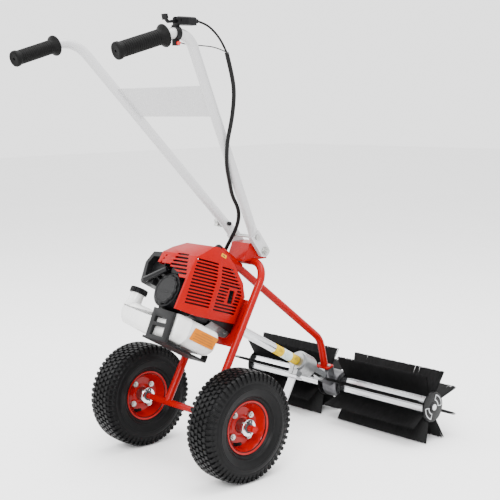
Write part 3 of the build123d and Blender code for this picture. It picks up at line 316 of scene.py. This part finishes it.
def lathe(bm, profile, origin, axis, steps, closed=True, start=None):
    """Turns (along, radius) points in metres about an axis through origin."""
    axis = axis.normalized()
    start = start or (UP_PERP if abs(axis.dot(UP_PERP)) < 0.9 else RIGHT)
    square = (start - axis * start.dot(axis)).normalized()
    other = axis.cross(square)
    rings = []
    for step in range(steps):
        turn = 2 * math.pi * step / steps
        out = square * math.cos(turn) + other * math.sin(turn)
        rings.append([bm.verts.new(origin + axis * along + out * radius)
                      for along, radius in profile])
    count = len(profile)
    for step in range(steps):
        here, after = rings[step], rings[(step + 1) % steps]
        for i in range(count if closed else count - 1):
            j = (i + 1) % count
            bm.faces.new((here[i], here[j], after[j], after[i]))
    return rings


def extruded(bm, outline, start, end, u, v, n, origin):
    """A prism of a polygon given in millimetres on axes u and v, from start to end along n."""
    low, high = ([bm.verts.new(origin + (u * a + v * b + n * place) / 1000) for a, b in outline]
                 for place in (start, end))
    bm.faces.new(list(reversed(low)))
    bm.faces.new(high)
    bridge(bm, low, high)


def rounded(points, radius, steps):
    """Rounds the corners of a polygon."""
    result = []
    count = len(points)
    for i in range(count):
        before, here, after = (Vector(points[(i + k) % count]) for k in (-1, 0, 1))
        reach = min(radius, (before - here).length * 0.45, (after - here).length * 0.45)
        start = here + (before - here).normalized() * reach
        end = here + (after - here).normalized() * reach
        for step in range(steps + 1):
            t = step / steps
            result.append(tuple(start * (1 - t) ** 2 + here * 2 * t * (1 - t) + end * t ** 2))
    return result


def wire(name, points, radius, material, resolution=10):
    """A round flexible line through a smooth spline whose control points are given."""
    curve = bpy.data.curves.new(name, "CURVE")
    curve.dimensions = "3D"
    curve.bevel_depth = radius
    curve.bevel_resolution = 5
    curve.use_fill_caps = True
    spline = curve.splines.new("NURBS")
    spline.points.add(len(points) - 1)
    for place, point in zip(spline.points, points):
        place.co = (*point, 1)
    spline.order_u = 3
    spline.use_endpoint_u = True
    spline.resolution_u = resolution
    curve.materials.append(material)
    source = bpy.data.objects.new(name + "_line", curve)
    bpy.context.collection.objects.link(source)
    mesh = flattened(source)
    bpy.data.objects.remove(source)
    piece = bpy.data.objects.new(name, mesh)
    bpy.context.collection.objects.link(piece)
    for polygon in mesh.polygons:
        polygon.use_smooth = True
    return piece


# ------------------------------------------------------------------ wheels
WHEEL_X, AXLE_HEIGHT = 0.189, 0.130
TREAD_BLOCKS = 56                                   # in each row round the tyre
TREAD_ROWS = (-24.4, -12.2, 0.0, 12.2, 24.4)        # millimetres from the tyre's middle
VALVE_TURN = math.radians(237)


def tread_block(bm, middle, along, turn, wide, long, low, high, lean, skew=0.0):
    """One raised block of the tread, along the axle and round the tyre, in millimetres."""
    corners = []
    for radius, grow in ((low, 1.0), (high, 0.80)):
        for a, b in ((-1, -1), (1, -1), (1, 1), (-1, 1)):
            across = along + a * wide / 2 * grow
            angle = turn + (b * long / 2 * grow + skew * a) / high
            reach = radius + lean * (across - along)
            corners.append(bm.verts.new(middle + Vector((
                across, math.cos(angle) * reach, math.sin(angle) * reach)) / 1000))
    a, b, c, d, e, f, g, h = corners
    for quad in ((e, f, g, h), (a, b, f, e), (b, c, g, f), (c, d, h, g), (d, a, e, h)):
        bm.faces.new(quad)


def build_tyre(side, middle):
    """Carcass with a ribbed wall, five rows of tread blocks and two rows of shoulder blocks."""
    bm = bmesh.new()
    wall = [(-28.2, 56.0), (-28.6, 62.8), (-31.2, 64.8), (-33.4, 67.2), (-33.6, 69.2),
            (-36.2, 71.5), (-37.2, 72.2), (-38.2, 73.2), (-38.0, 74.6), (-39.4, 77.5),
            (-41.2, 82.5), (-42.2, 88), (-42.9, 91.0), (-42.2, 92.3), (-43.0, 93.6), (-42.4, 98),
            (-41.8, 102.5), (-40.6, 104), (-40.8, 106), (-40.2, 109)]
    crown = [(-38.6, 112.0), (-36.8, 117.5), (-33, 122.6), (-27, 125.2), (-14, 126.0), (0, 126.2)]
    half = wall + crown
    profile = half + [(-a, r) for a, r in reversed(half[:-1])]
    lathe(bm, [(a / 1000, r / 1000) for a, r in profile], middle, RIGHT, 144)
    pitch = 2 * math.pi / TREAD_BLOCKS
    for step in range(TREAD_BLOCKS):
        turn = 2 * math.pi * step / TREAD_BLOCKS
        for row, along in enumerate(TREAD_ROWS):
            odd = row % 2
            tread_block(bm, middle, along, turn + (pitch / 2 if odd else 0.0), 10.4, 11.4, 124.6,
                        130.2 - abs(along) * 0.05, -0.05 * (along > 1) + 0.05 * (along < -1),
                        0.8 if odd else -0.8)
        for sign in (-1, 1):
            shoulder = turn + (pitch / 2 if sign > 0 else 0)
            tread_block(bm, middle, sign * 34.6, shoulder, 7.6, 9.2, 118.5, 126.6, -0.42 * sign)
            tread_block(bm, middle, sign * 38.6, shoulder, 4.6, 7.6, 109.0, 115.4, -1.2 * sign)
    for vert in bm.verts:
        vert.co.z = max(vert.co.z, 0)
    carry(solid(f"tyre_{side}_tread", bm, tyre_rubber, 32),
          f"wheel_{side}", "tyre_rubber", f"tyre_{side}")


def build_rim(side, middle):
    """Pressed rim with a rolled edge, a deep well and a dished middle on each side."""
    bm = bmesh.new()
    edge = [(30.0, 61.2), (29.6, 62.2), (28.4, 62.5), (27.2, 61.8), (26.9, 60.6), (26.4, 58.8),
            (25.0, 57.4)]
    dish = [(30.0, 60.2), (29.2, 58.4), (27.0, 56.6), (23.5, 54.6), (19, 52.4), (14.5, 50.2),
            (11.0, 48.2), (8.2, 46.4), (5.2, 44.8), (3.4, 42.8), (3.0, 40.6), (3.0, 27.0),
            (3.6, 25.0), (5.4, 22.6), (6.0, 20.4), (6.0, 18.4), (5.0, 17.7)]
    well = [(20, 55.2), (12, 51.6), (-12, 51.6), (-20, 55.2)]
    half = dish[::-1] + edge
    shape = half + well + [(-a, r) for a, r in reversed(half)]
    lathe(bm, [(a / 1000, r / 1000) for a, r in shape], middle, RIGHT, 112)
    carry(solid(f"rim_{side}_finish", bm, rim_enamel, 45),
          f"wheel_{side}", "frame_red", f"rim_{side}")


def build_valve(side, middle):
    """Rubber valve stem through the right-hand face of the rim."""
    bm = bmesh.new()
    y, z = math.cos(VALVE_TURN), math.sin(VALVE_TURN)
    lathe(bm, [(0.0, 0.0001), (0.0, 0.0050), (0.006, 0.0044), (0.009, 0.0034), (0.012, 0.0034),
               (0.0122, 0.0040), (0.019, 0.0040), (0.0198, 0.0034), (0.0198, 0.0001)],
          middle + Vector((0.009, y * 0.0465, z * 0.0465)), Vector((0.93, -y * 0.37, -z * 0.37)),
          20, closed=False)
    carry(solid(f"valve_{side}", bm, dark_rubber, 40), f"wheel_{side}", "tyre_rubber")


def build_hub_rings(side, middle):
    """A bright turned ring on each end of the hub, round the dark bearing."""
    bm = bmesh.new()
    for sign in (-1, 1):
        lathe(bm, [(0.0310, 0.0120), (0.0324, 0.0124), (0.0325, 0.0190), (0.0315, 0.0200),
                   (0.0262, 0.0200), (0.0262, 0.0170), (0.0310, 0.0170)],
              middle, RIGHT * sign, 56)
    carry(solid(f"hub_rings_{side}", bm, bright_alloy, 35), f"wheel_{side}", "zinc")


for wheel_side, wheel_sign in (("left", -1), ("right", 1)):
    for build in (build_tyre, build_rim, build_valve, build_hub_rings):
        build(wheel_side, Vector((wheel_sign * WHEEL_X, AXLE_Y, AXLE_HEIGHT)))


# ------------------------------------------------------------------ roller
STRIPS = 8
STRIP_TURNS = [math.radians(22.5 + 360 / STRIPS * strip) for strip in range(STRIPS)]
BRISTLE_PITCH, BRISTLE_ROWS, ROW_GAP = 0.0023, 3, 0.0019
BRISTLES_FROM, BRISTLES_TO = 0.0445, 0.3225         # metres from the roller's middle
BRISTLES_MIDDLE, BRISTLES_HALF = 0.1835, 0.139
ROOT_RADIUS, TIP_RADIUS, LOWEST_TIP = 0.0305, 0.0945, 0.0004
CORE_FROM, CORE_TO = 41, 323                        # millimetres
DISC_OUTER, DISC_INNER = 0.328, 0.036
WINDOW_STEPS = 12


def tuft(bm, root, tip, flat):
    """One tapered bundle of bristle with a three-sided section."""
    rings = []
    for place, wide in ((root, 0.0014), (root.lerp(tip, 0.55), 0.0018), (tip, 0.0015)):
        rings.append([bm.verts.new(place + RIGHT * (wide * math.cos(a))
                                   + flat * (wide * 0.62 * math.sin(a))) for a in (0.3, 2.4, 4.5)])
    for low, high in zip(rings, rings[1:]):
        bridge(bm, low, high)
    bm.faces.new(rings[-1])


def build_bristles():
    """Three staggered rows of tufts in each strip, fanned out towards the strip's ends."""
    bm = bmesh.new()
    for sign in (-1, 1):
        for turn in STRIP_TURNS:
            out = Vector((0, math.cos(turn), math.sin(turn)))
            flat = Vector((0, -math.sin(turn), math.cos(turn)))
            for row in range(BRISTLE_ROWS):
                offset = (row - (BRISTLE_ROWS - 1) / 2) * ROW_GAP
                along = BRISTLES_FROM + (row % 2) * BRISTLE_PITCH / 2
                while along < BRISTLES_TO:
                    spread = (along - BRISTLES_MIDDLE) / BRISTLES_HALF
                    lean = spread * 0.0115 + random.uniform(-0.0016, 0.0016)
                    reach = TIP_RADIUS - random.uniform(0, 0.0022)
                    splay = offset * 1.35 + random.uniform(-0.0006, 0.0006)
                    root = (BRUSH_MID + RIGHT * (sign * along) + out * ROOT_RADIUS
                            + flat * offset)
                    tip = BRUSH_MID + RIGHT * (sign * (along + lean)) + out * reach + flat * splay
                    tip.z = max(tip.z, LOWEST_TIP)
                    tuft(bm, root, tip, flat)
                    along += BRISTLE_PITCH
    piece = add_object("bristles", bm, bristle_fibre)
    piece.data.set_sharp_from_angle(angle=math.radians(60))
    carry(piece, "brush", "bristle", "bristle_strips")


def build_core():
    """The aluminium core tubes between their discs, with a channel that holds each strip."""
    bm = bmesh.new()
    half = ((-13.0, 28.4), (-9.4, 29.6), (-7.2, 29.9), (-6.6, 28.2))
    channel = half + tuple((-angle, radius) for angle, radius in reversed(half))
    outline = [(math.cos(turn + math.radians(angle)) * radius,
                math.sin(turn + math.radians(angle)) * radius)
               for turn in STRIP_TURNS for angle, radius in channel]
    for start, end in ((-CORE_TO, -CORE_FROM), (CORE_FROM, CORE_TO)):
        extruded(bm, outline, start, end, FORWARD, UP, RIGHT, BRUSH_MID)
    carry(solid("core_tubes", bm, bright_alloy, 20), "brush", "core_aluminium", "brush_core")


def build_end_discs():
    """Black end plates, each with a rounded rim and a raised hub."""
    bm = bmesh.new()
    for sign in (-1, 1):
        for face_x, out in ((sign * DISC_OUTER, sign), (sign * DISC_INNER, -sign)):
            place = BRUSH_MID + RIGHT * face_x
            lathe(bm, [(0.0, 0.0082), (0.0, 0.0365), (-0.0006, 0.0384), (-0.0022, 0.0390),
                       (-0.0050, 0.0390), (-0.0050, 0.0082)], place, RIGHT * out, 72)
            lathe(bm, [(0.0, 0.0130), (0.0016, 0.0124), (0.0018, 0.0084), (0.0, 0.0082)],
                  place, RIGHT * out, 40, closed=False)
    carry(solid("end_plates", bm, gloss_black, 35), "brush", "black_plastic", "brush_discs")


def window_outline(middle, half, outer, inner):
    """Part of a ring, in millimetres about the roller's axis, half degrees each side of middle."""
    turns = [middle + math.radians(half * (2 * step / WINDOW_STEPS - 1))
             for step in range(WINDOW_STEPS + 1)]
    return ([(math.cos(a) * outer, math.sin(a) * outer) for a in turns]
            + [(math.cos(a) * inner, math.sin(a) * inner) for a in reversed(turns)])


def build_plate_windows():
    """Bright raised edge round the two windows in each outer end plate."""
    bm = bmesh.new()
    for sign in (-1, 1):
        for middle in (math.radians(35), math.radians(215)):
            outline = window_outline(middle, 38, 32.5, 17.5)
            inner = window_outline(middle, 34.5, 30.6, 19.6)
            loops = [[bm.verts.new(BRUSH_MID + Vector((sign * place, y, z)) / 1000)
                      for y, z in shape]
                     for shape, place in ((outline, 328.0), (outline, 328.9), (inner, 328.9),
                                          (inner, 328.1))]
            for low, high in zip(loops, loops[1:]):
                bridge(bm, low, high)
    carry(solid("plate_windows", bm, pressed_steel, 35), "brush", "guard_steel")


build_bristles()
build_core()
build_end_discs()
build_plate_windows()


# ------------------------------------------------------------------ handle
GRIP_LENGTH = 0.121
GRIP_RIBS = 17


def build_grip(side, sign):
    """Rubber grip with a flange at the tube, ribs all along and a domed end with a hole."""
    corner, end = ground(sign * 211, -147, 1013), ground(sign * 196, -317, 963)
    away = (end - corner).normalized()
    profile = [(0.0, 0.0116), (0.0, 0.0226), (0.0008, 0.0238), (0.0024, 0.0242),
               (0.0040, 0.0238), (0.0062, 0.0218), (0.0110, 0.0180), (0.0145, 0.0168),
               (0.018, 0.0165)]
    for rib in range(GRIP_RIBS):
        along = 0.0195 + 0.0052 * rib
        profile += [(along, 0.01650), (along + 0.0005, 0.01580), (along + 0.0014, 0.01580),
                    (along + 0.0019, 0.01650)]
    profile += [(0.1085, 0.01640), (0.1105, 0.01720), (0.1120, 0.01840), (0.1175, 0.01850),
                (0.1196, 0.01760), (0.1207, 0.0155), (0.1210, 0.0125), (0.1204, 0.0100),
                (0.1204, 0.0030), (0.1170, 0.0030), (0.1170, 0.0116)]
    bm = bmesh.new()
    lathe(bm, profile, end - away * GRIP_LENGTH, away, 72, start=UP)
    carry(solid(f"grip_{side}", bm, dark_rubber, 38), "handle", "grip_rubber", "grips")


build_grip("right", 1)
build_grip("left", -1)

# ------------------------------------------------------------------ cables
CONDUIT = [ground(*point) for point in (
    (214, -42, 965), (202, -17, 919), (188, 1, 883), (174, 9, 844), (161, 13, 811),
    (148, 14, 777), (131, 25, 743), (112, 42, 712), (91, 68, 678), (61, 101, 642),
    (46, 134, 609), (33, 147, 582), (19, 150, 556), (4, 146, 530), (-13, 144, 505),
    (-26, 143, 480), (-34, 138, 455))]
CONDUIT += [drive(*point) for point in (
    (-40, 104, 50), (-48, 104, 74), (-52, 91, 98), (-52, 72.2, 98))]
CABLE = [ground(*point) for point in (
    (207.6, -115.7, 1028.3), (208.4, -93, 1024), (210, -68, 1006), (213, -52, 985),
    (214.4, -42.9, 966.6))]
SWITCH_WIRE = [ground(*point) for point in (
    (200, -166, 990), (188, -148, 984), (184, -122, 982), (192, -94, 980), (205, -64, 977),
    (211.2, -43.6, 967.8))]

conduit = wire("throttle_conduit", CONDUIT, 0.00475, cable_rubber, resolution=12)
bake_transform(conduit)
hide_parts("cable_conduit")
for name, route, radius in (("throttle_wire_sheath", CABLE, 0.0024),
                            ("switch_wire", SWITCH_WIRE, 0.0012)):
    carry(wire(name, route, radius, cable_rubber), "handle", "grip_rubber", "throttle_cable")


# ------------------------------------------------------------------ engine
TANK_REAR, TANK_FRONT = 188, 56                     # millimetres along the drive line
TANK_END = ((0, 14), (1, 8.5), (3.5, 4.2), (7.5, 1.4), (13, 0.2), (22, 0))
TANK_MIDDLE = ((98, 0), (120, 0), (144.6, 0), (145.4, -0.8), (146.6, -0.8), (147.4, 0), (166, 0))
FILLER_X, FILLER_Z = -134, 169
STARTER_LOBES = 12


def build_tank():
    """The tank as one blown shell: a rounded section whose ends pull in, with a seam round it."""
    outline = rounded([(-140, -96), (-20, -112), (64, -110), (82, -94), (82, -56), (74, -46),
                       (38, -46), (28, -54), (-60, -51), (-104, -42), (-150, -42), (-156, -66)],
                      13, 5)
    count = len(outline)
    normals = []
    for i in range(count):
        way = (Vector(outline[(i + 1) % count]) - Vector(outline[i - 1])).normalized()
        normals.append(Vector((way.y, -way.x)))
    area = sum(a[0] * b[1] - b[0] * a[1] for a, b in zip(outline, outline[1:] + outline[:1]))
    if area < 0:
        normals = [-normal for normal in normals]
    stations = ([(TANK_FRONT + z, inset) for z, inset in TANK_END] + list(TANK_MIDDLE)
                + [(TANK_REAR - z, inset) for z, inset in reversed(TANK_END[:-1])])
    bm = bmesh.new()
    rings = []
    for z, inset in stations:
        ring = []
        for point, normal in zip(outline, normals):
            place = Vector(point) - normal * inset
            if place.x > 0:     # the right-hand end slants in towards the rear
                place.x *= 1 - 0.16 * max(0.0, min(1.0, (z - 70) / 118))
            ring.append(bm.verts.new(drive(place.x, place.y, z)))
        rings.append(ring)
    for low, high in zip(rings, rings[1:]):
        bridge(bm, low, high)
    bm.faces.new(list(reversed(rings[0])))
    bm.faces.new(rings[-1])
    lathe(bm, [(0, 0.0230), (0.010, 0.0196), (0.016, 0.0176), (0.030, 0.0168), (0.044, 0.0168),
               (0.044, 0.0120)], drive(FILLER_X, -54, FILLER_Z), UP_PERP, 48, closed=False,
          start=RIGHT)
    carry(solid("fuel_tank_shell", bm, tank_plastic, 50), "frame", "tank_white", "fuel_tank")


def build_cap():
    """Ribbed filler cap."""
    bm = bmesh.new()
    foot = drive(FILLER_X, -18, FILLER_Z)
    profile = [(0.0, 0.0172), (0.0, 0.0214), (0.0010, 0.0222), (0.0118, 0.0222),
               (0.0134, 0.0214), (0.0140, 0.0196), (0.0136, 0.0150), (0.0136, 0.0001)]
    rings = lathe(bm, profile, foot, UP_PERP, 96, closed=False, start=RIGHT)
    for step, ring in enumerate(rings):
        if step % 4 in (0, 1):
            for vert in ring[1:5]:
                centre = foot + UP_PERP * (vert.co - foot).dot(UP_PERP)
                vert.co = centre + (vert.co - centre) * 0.935
    carry(solid("filler_cap", bm, black_plastic, 35), "fuel_cap", "black_plastic", "fuel_cap")


def build_starter_cap():
    """Scalloped recoil cover with a shallow dish and plain raised lines in place of lettering."""
    bm = bmesh.new()
    steps = 192
    profile = [(-0.0035, 0.0365), (0.0, 0.0376), (0.0032, 0.0374), (0.0048, 0.0362),
               (0.0058, 0.0342), (0.0060, 0.0310), (0.0056, 0.0298), (0.0046, 0.0290),
               (0.0046, 0.0001)]
    centre = drive(0, 0, 196.2)
    rings = lathe(bm, profile, centre, REAR_UP, steps, closed=False)
    for step, ring in enumerate(rings):
        dip = 0.5 - 0.5 * math.cos(STARTER_LOBES * 2 * math.pi * step / steps)
        for vert in ring[:5]:
            middle = centre + REAR_UP * (vert.co - centre).dot(REAR_UP)
            vert.co = middle + (vert.co - middle) * (1 - 0.085 * dip ** 2)
    for w, half in ((-3.0, 16.0), (-7.5, 14.0)):
        bar = [(-half, w - 0.8), (half, w - 0.8), (half, w + 0.8), (-half, w + 0.8)]
        extruded(bm, rounded(bar, 0.6, 2), 0.0, 0.5, RIGHT, UP_PERP, REAR_UP, drive(0, 0, 200.8))
    carry(solid("starter_cover", bm, grey_plastic, 30), "frame", "grey_plastic", "starter_cap")


def build_shade_liner():
    """Painted shade: a black wall a little way inside the cover, seen through its slots, that
    stands in for the shade inside it.
    """
    wall = ((0, 58), (60, 80), (122, 85), (210, 68))
    roof = ((0, 60), (14, 64), (36, 80), (86, 121), (128, 137), (158, 134), (203, 90), (210, 60))
    bm = bmesh.new()
    columns = []
    for z in (5, 20, 40, 60, 80, 100, 122, 140, 158, 176, 192):
        top = np.interp(z, *zip(*roof)) - (13 if z < 120 else 5)
        column = []
        for share in (0, 0.2, 0.4, 0.6, 0.7, 0.8, 0.9, 1.0):
            w = -30 + (top + 30) * share
            x = min(np.interp(z, *zip(*wall)), 85 - max(0, w - 58) * 27 / 82) - 8
            column.append([bm.verts.new(drive(x - inner, w, z)) for inner in (0, 1.5)])
        columns.append(column)
    for left, right in zip(columns, columns[1:]):
        for (a, b), (c, d), (e, f), (g, h) in zip(left, left[1:], right, right[1:]):
            bm.faces.new((a, c, g, e))
            bm.faces.new((b, f, h, d))
    bm.verts.index_update()
    rim = [edge for edge in bm.edges if len(edge.link_faces) == 1]
    bmesh.ops.bridge_loops(bm, edges=rim)
    rear = rounded([(-8, 42), (60, 42), (52, 70), (42, 92), (-32, 92), (-32, 60), (-8, 60)], 4, 3)
    extruded(bm, rear, 196.4, 197.6, RIGHT, UP_PERP, REAR_UP, CRANK)
    # a black sheet as painted shade behind the cover's slots
    carry(solid("cover_shade_liner", bm, black_plastic, 40), "frame", "black_plastic")


build_tank()
build_cap()
build_starter_cap()
for name, finish, width, slot in (
        ("engine_shroud", red_plastic, 0.0012, "shroud_red"),
        ("tank_guard", grey_plastic, 0.0016, "grey_plastic"),
        ("starter_housing", black_plastic, 0.0012, "black_plastic")):
    carry(moulded(name, finish, width), "frame", slot, name)
build_shade_liner()


# ------------------------------------------------------------------ labels
def label(name, origin, u, v, n, wide, high, material, slant, corner):
    """A thin printed panel with rounded corners that lies on one of the frame's faces."""
    bm = bmesh.new()
    panel = [(-wide / 2 - slant, -high / 2), (wide / 2 - slant, -high / 2),
             (wide / 2 + slant, high / 2), (-wide / 2 + slant, high / 2)]
    extruded(bm, rounded(panel, corner, 3), 0.0, 0.25, u, v, n, origin)
    bmesh.ops.recalc_face_normals(bm, faces=bm.faces)
    carry(add_object(name, bm, material, smooth=False), "frame", "grey_plastic")


def build_tank_label():
    """Orange panel with plain lines on the tank's right-hand end, which slants in."""
    way = (REAR_UP - RIGHT * 0.111).normalized()
    out = way.cross(UP_PERP)
    if out.x < 0:
        out = -out
    middle = drive(79.2, -76, 101)
    label("tank_label", middle, way * -1, UP_PERP, out, 72, 31, orange_print, 3.0, 2.5)
    for row, half in enumerate((18, 29, 27, 30)):
        shift = way * (-6 if row == 0 else 0) + UP_PERP * (9 - 6 * row) + out * 0.25
        label(f"tank_label_line_{row}", middle + shift / 1000, way * -1, UP_PERP, out,
              2 * half, 1.1, dark_print, 0.0, 0.4)


def build_cover_label():
    """Amber panel with one dark mark on the cover's slanting upper right face, near its front."""
    up = (UP_PERP * 82 - RIGHT * 27).normalized()
    out = (RIGHT * 82 + UP_PERP * 27).normalized()
    face = drive(62.9, 125, 124) + out * 0.0002
    label("cover_label", face, REAR_UP * -1, up, out, 17, 9, amber_print, 1.0, 1.2)
    label("cover_label_mark", face + out * 0.00025, REAR_UP * -1, up, out, 7, 3.2, dark_print,
          -1.2, 0.8)


def build_tube_sticker():
    """A sticker wrapped round the silver drive tube: two yellow ends, a pale middle, no print."""
    bm = bmesh.new()
    low, high = -297, -199
    rings = []
    turns = [math.radians(-150 + 300 * step / 32) for step in range(33)]
    for z, radius in ((low, 12.4), (low + 0.01, 12.75), (-266, 12.75), (-232, 12.75),
                      (high - 0.01, 12.75), (high, 12.4)):
        rings.append([bm.verts.new(drive(radius * math.cos(a), radius * math.sin(a), z))
                      for a in turns])
    for index, (ring, after) in enumerate(zip(rings, rings[1:])):
        for a, b, c, d in zip(ring, ring[1:], after[1:], after):
            bm.faces.new((a, b, c, d)).material_index = int(index == 2)
    for middle in (-282, -218):
        for w, half in ((4.6, 5.5), (1.4, 7.0), (-1.8, 7.0)):
            a, b, c, d = (bm.verts.new(drive(math.sqrt(12.9 ** 2 - edge ** 2), edge, z))
                          for z in (middle - half, middle + half)
                          for edge in (w - 0.5, w + 0.5))
            bm.faces.new((a, b, d, c)).material_index = 2
    bmesh.ops.recalc_face_normals(bm, faces=bm.faces)
    carry(add_object("tube_sticker", bm, yellow_print, pale_print, dark_print),
          "frame", "grey_plastic")


build_tank_label()
build_cover_label()
build_tube_sticker()


# ------------------------------------------------------------------ plugs and starter cord
def build_sleeve_plug():
    """The black plug in the upper end of the sleeve tube."""
    top, foot = ground(0, 107, 506), ground(0, 172, 454.9)
    bm = bmesh.new()
    lathe(bm, [(-0.004, 0.0094), (0.0, 0.0096), (0.0001, 0.0128), (0.0030, 0.0130),
               (0.0055, 0.0120), (0.0068, 0.0090), (0.0072, 0.0001)],
          top, top - foot, 40, closed=False, start=RIGHT)
    carry(solid("sleeve_plug", bm, black_plastic, 35), "frame", "black_plastic")


def build_knob_bolt_cap():
    """The tip cap of the clamp knob's bolt."""
    _, high, middle = box_of("lock_knob")
    bm = bmesh.new()
    lathe(bm, [(-0.0060, 0.0042), (-0.0058, 0.0052), (0.0008, 0.0052), (0.0022, 0.0042),
               (0.0026, 0.0001)], Vector((high.x, middle.y, middle.z)), RIGHT, 24, closed=False)
    carry(solid("knob_bolt_cap", bm, black_plastic, 35), "lock_knob", "black_plastic")


build_sleeve_plug()
build_knob_bolt_cap()

# the cord between the starter's housing and its grip
CORD = [drive(-54.5, 30, z) for z in (172, 178, 184, 190, 196)]
cord = wire("starter_cord", CORD, 0.0016, cord_braid)
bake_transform(cord)


# ------------------------------------------------------------------ stage
FLOOR_REACH = 14


def build_floor():
    material, tree, shader = new_material("studio_floor")
    colours(tree, shader, noise(tree, 1.5), (0.2, (0.90, 0.90, 0.90)), (0.8, (0.92, 0.92, 0.92)))
    shader.inputs["Roughness"].default_value = 0.9
    shader.inputs["Specular IOR Level"].default_value = 0.1
    bm = bmesh.new()
    bm.faces.new([bm.verts.new((x * FLOOR_REACH, y * FLOOR_REACH, 0))
                  for x, y in ((-1, -1), (1, -1), (1, 1), (-1, 1))])
    add_object("studio_floor", bm, material, smooth=False)


def build_world():
    world = bpy.data.worlds.new("studio")
    bpy.context.scene.world = world
    world.use_nodes = True
    sky = world.node_tree.nodes["Background"]
    sky.inputs["Color"].default_value = (1.0, 1.0, 1.0, 1)
    sky.inputs["Strength"].default_value = 2.3


def area_light(name, place, target, size, power):
    light = bpy.data.lights.new(name, "AREA")
    light.energy = power
    light.shape = "RECTANGLE"
    light.size, light.size_y = size
    lamp = bpy.data.objects.new(name, light)
    lamp.location = place
    lamp.rotation_euler = (Vector(target) - Vector(place)).to_track_quat("-Z", "Y").to_euler()
    bpy.context.collection.objects.link(lamp)


build_floor()
build_world()
area_light("key", (2.2, -2.6, 2.8), (0, 0, 0.4), (1.8, 1.8), 210)
area_light("fill", (-2.8, -1.6, 2.2), (0, 0, 0.5), (2.4, 2.0), 50)
area_light("top", (0.2, 0.3, 3.4), (0, 0, 0.3), (2.6, 2.6), 150)

# ------------------------------------------------------------------ camera
AZIMUTH, ELEVATION, ROLL = math.radians(47.62), math.radians(8.16), math.radians(-0.82)
STAND_POINT = ground(1920.3, -1537.0, 858.9)


def build_camera():
    """The camera turned by its azimuth and elevation, then rolled about its own line of sight."""
    look = Vector((-math.sin(AZIMUTH) * math.cos(ELEVATION),
                   math.cos(AZIMUTH) * math.cos(ELEVATION), -math.sin(ELEVATION)))
    level_right = Vector((math.cos(AZIMUTH), math.sin(AZIMUTH), 0))
    level_up = level_right.cross(look)
    across = level_right * math.cos(ROLL) + level_up * math.sin(ROLL)
    upward = level_up * math.cos(ROLL) - level_right * math.sin(ROLL)
    data = bpy.data.cameras.new("camera")
    data.lens = 75.41
    data.sensor_width = 36
    data.shift_x, data.shift_y = -0.0020, 0.0061
    data.clip_end = 60
    camera = bpy.data.objects.new("camera", data)
    turned = Matrix((across, upward, -look)).transposed()
    camera.matrix_world = Matrix.Translation(STAND_POINT) @ turned.to_4x4()
    bpy.context.collection.objects.link(camera)
    bpy.context.scene.camera = camera


build_camera()
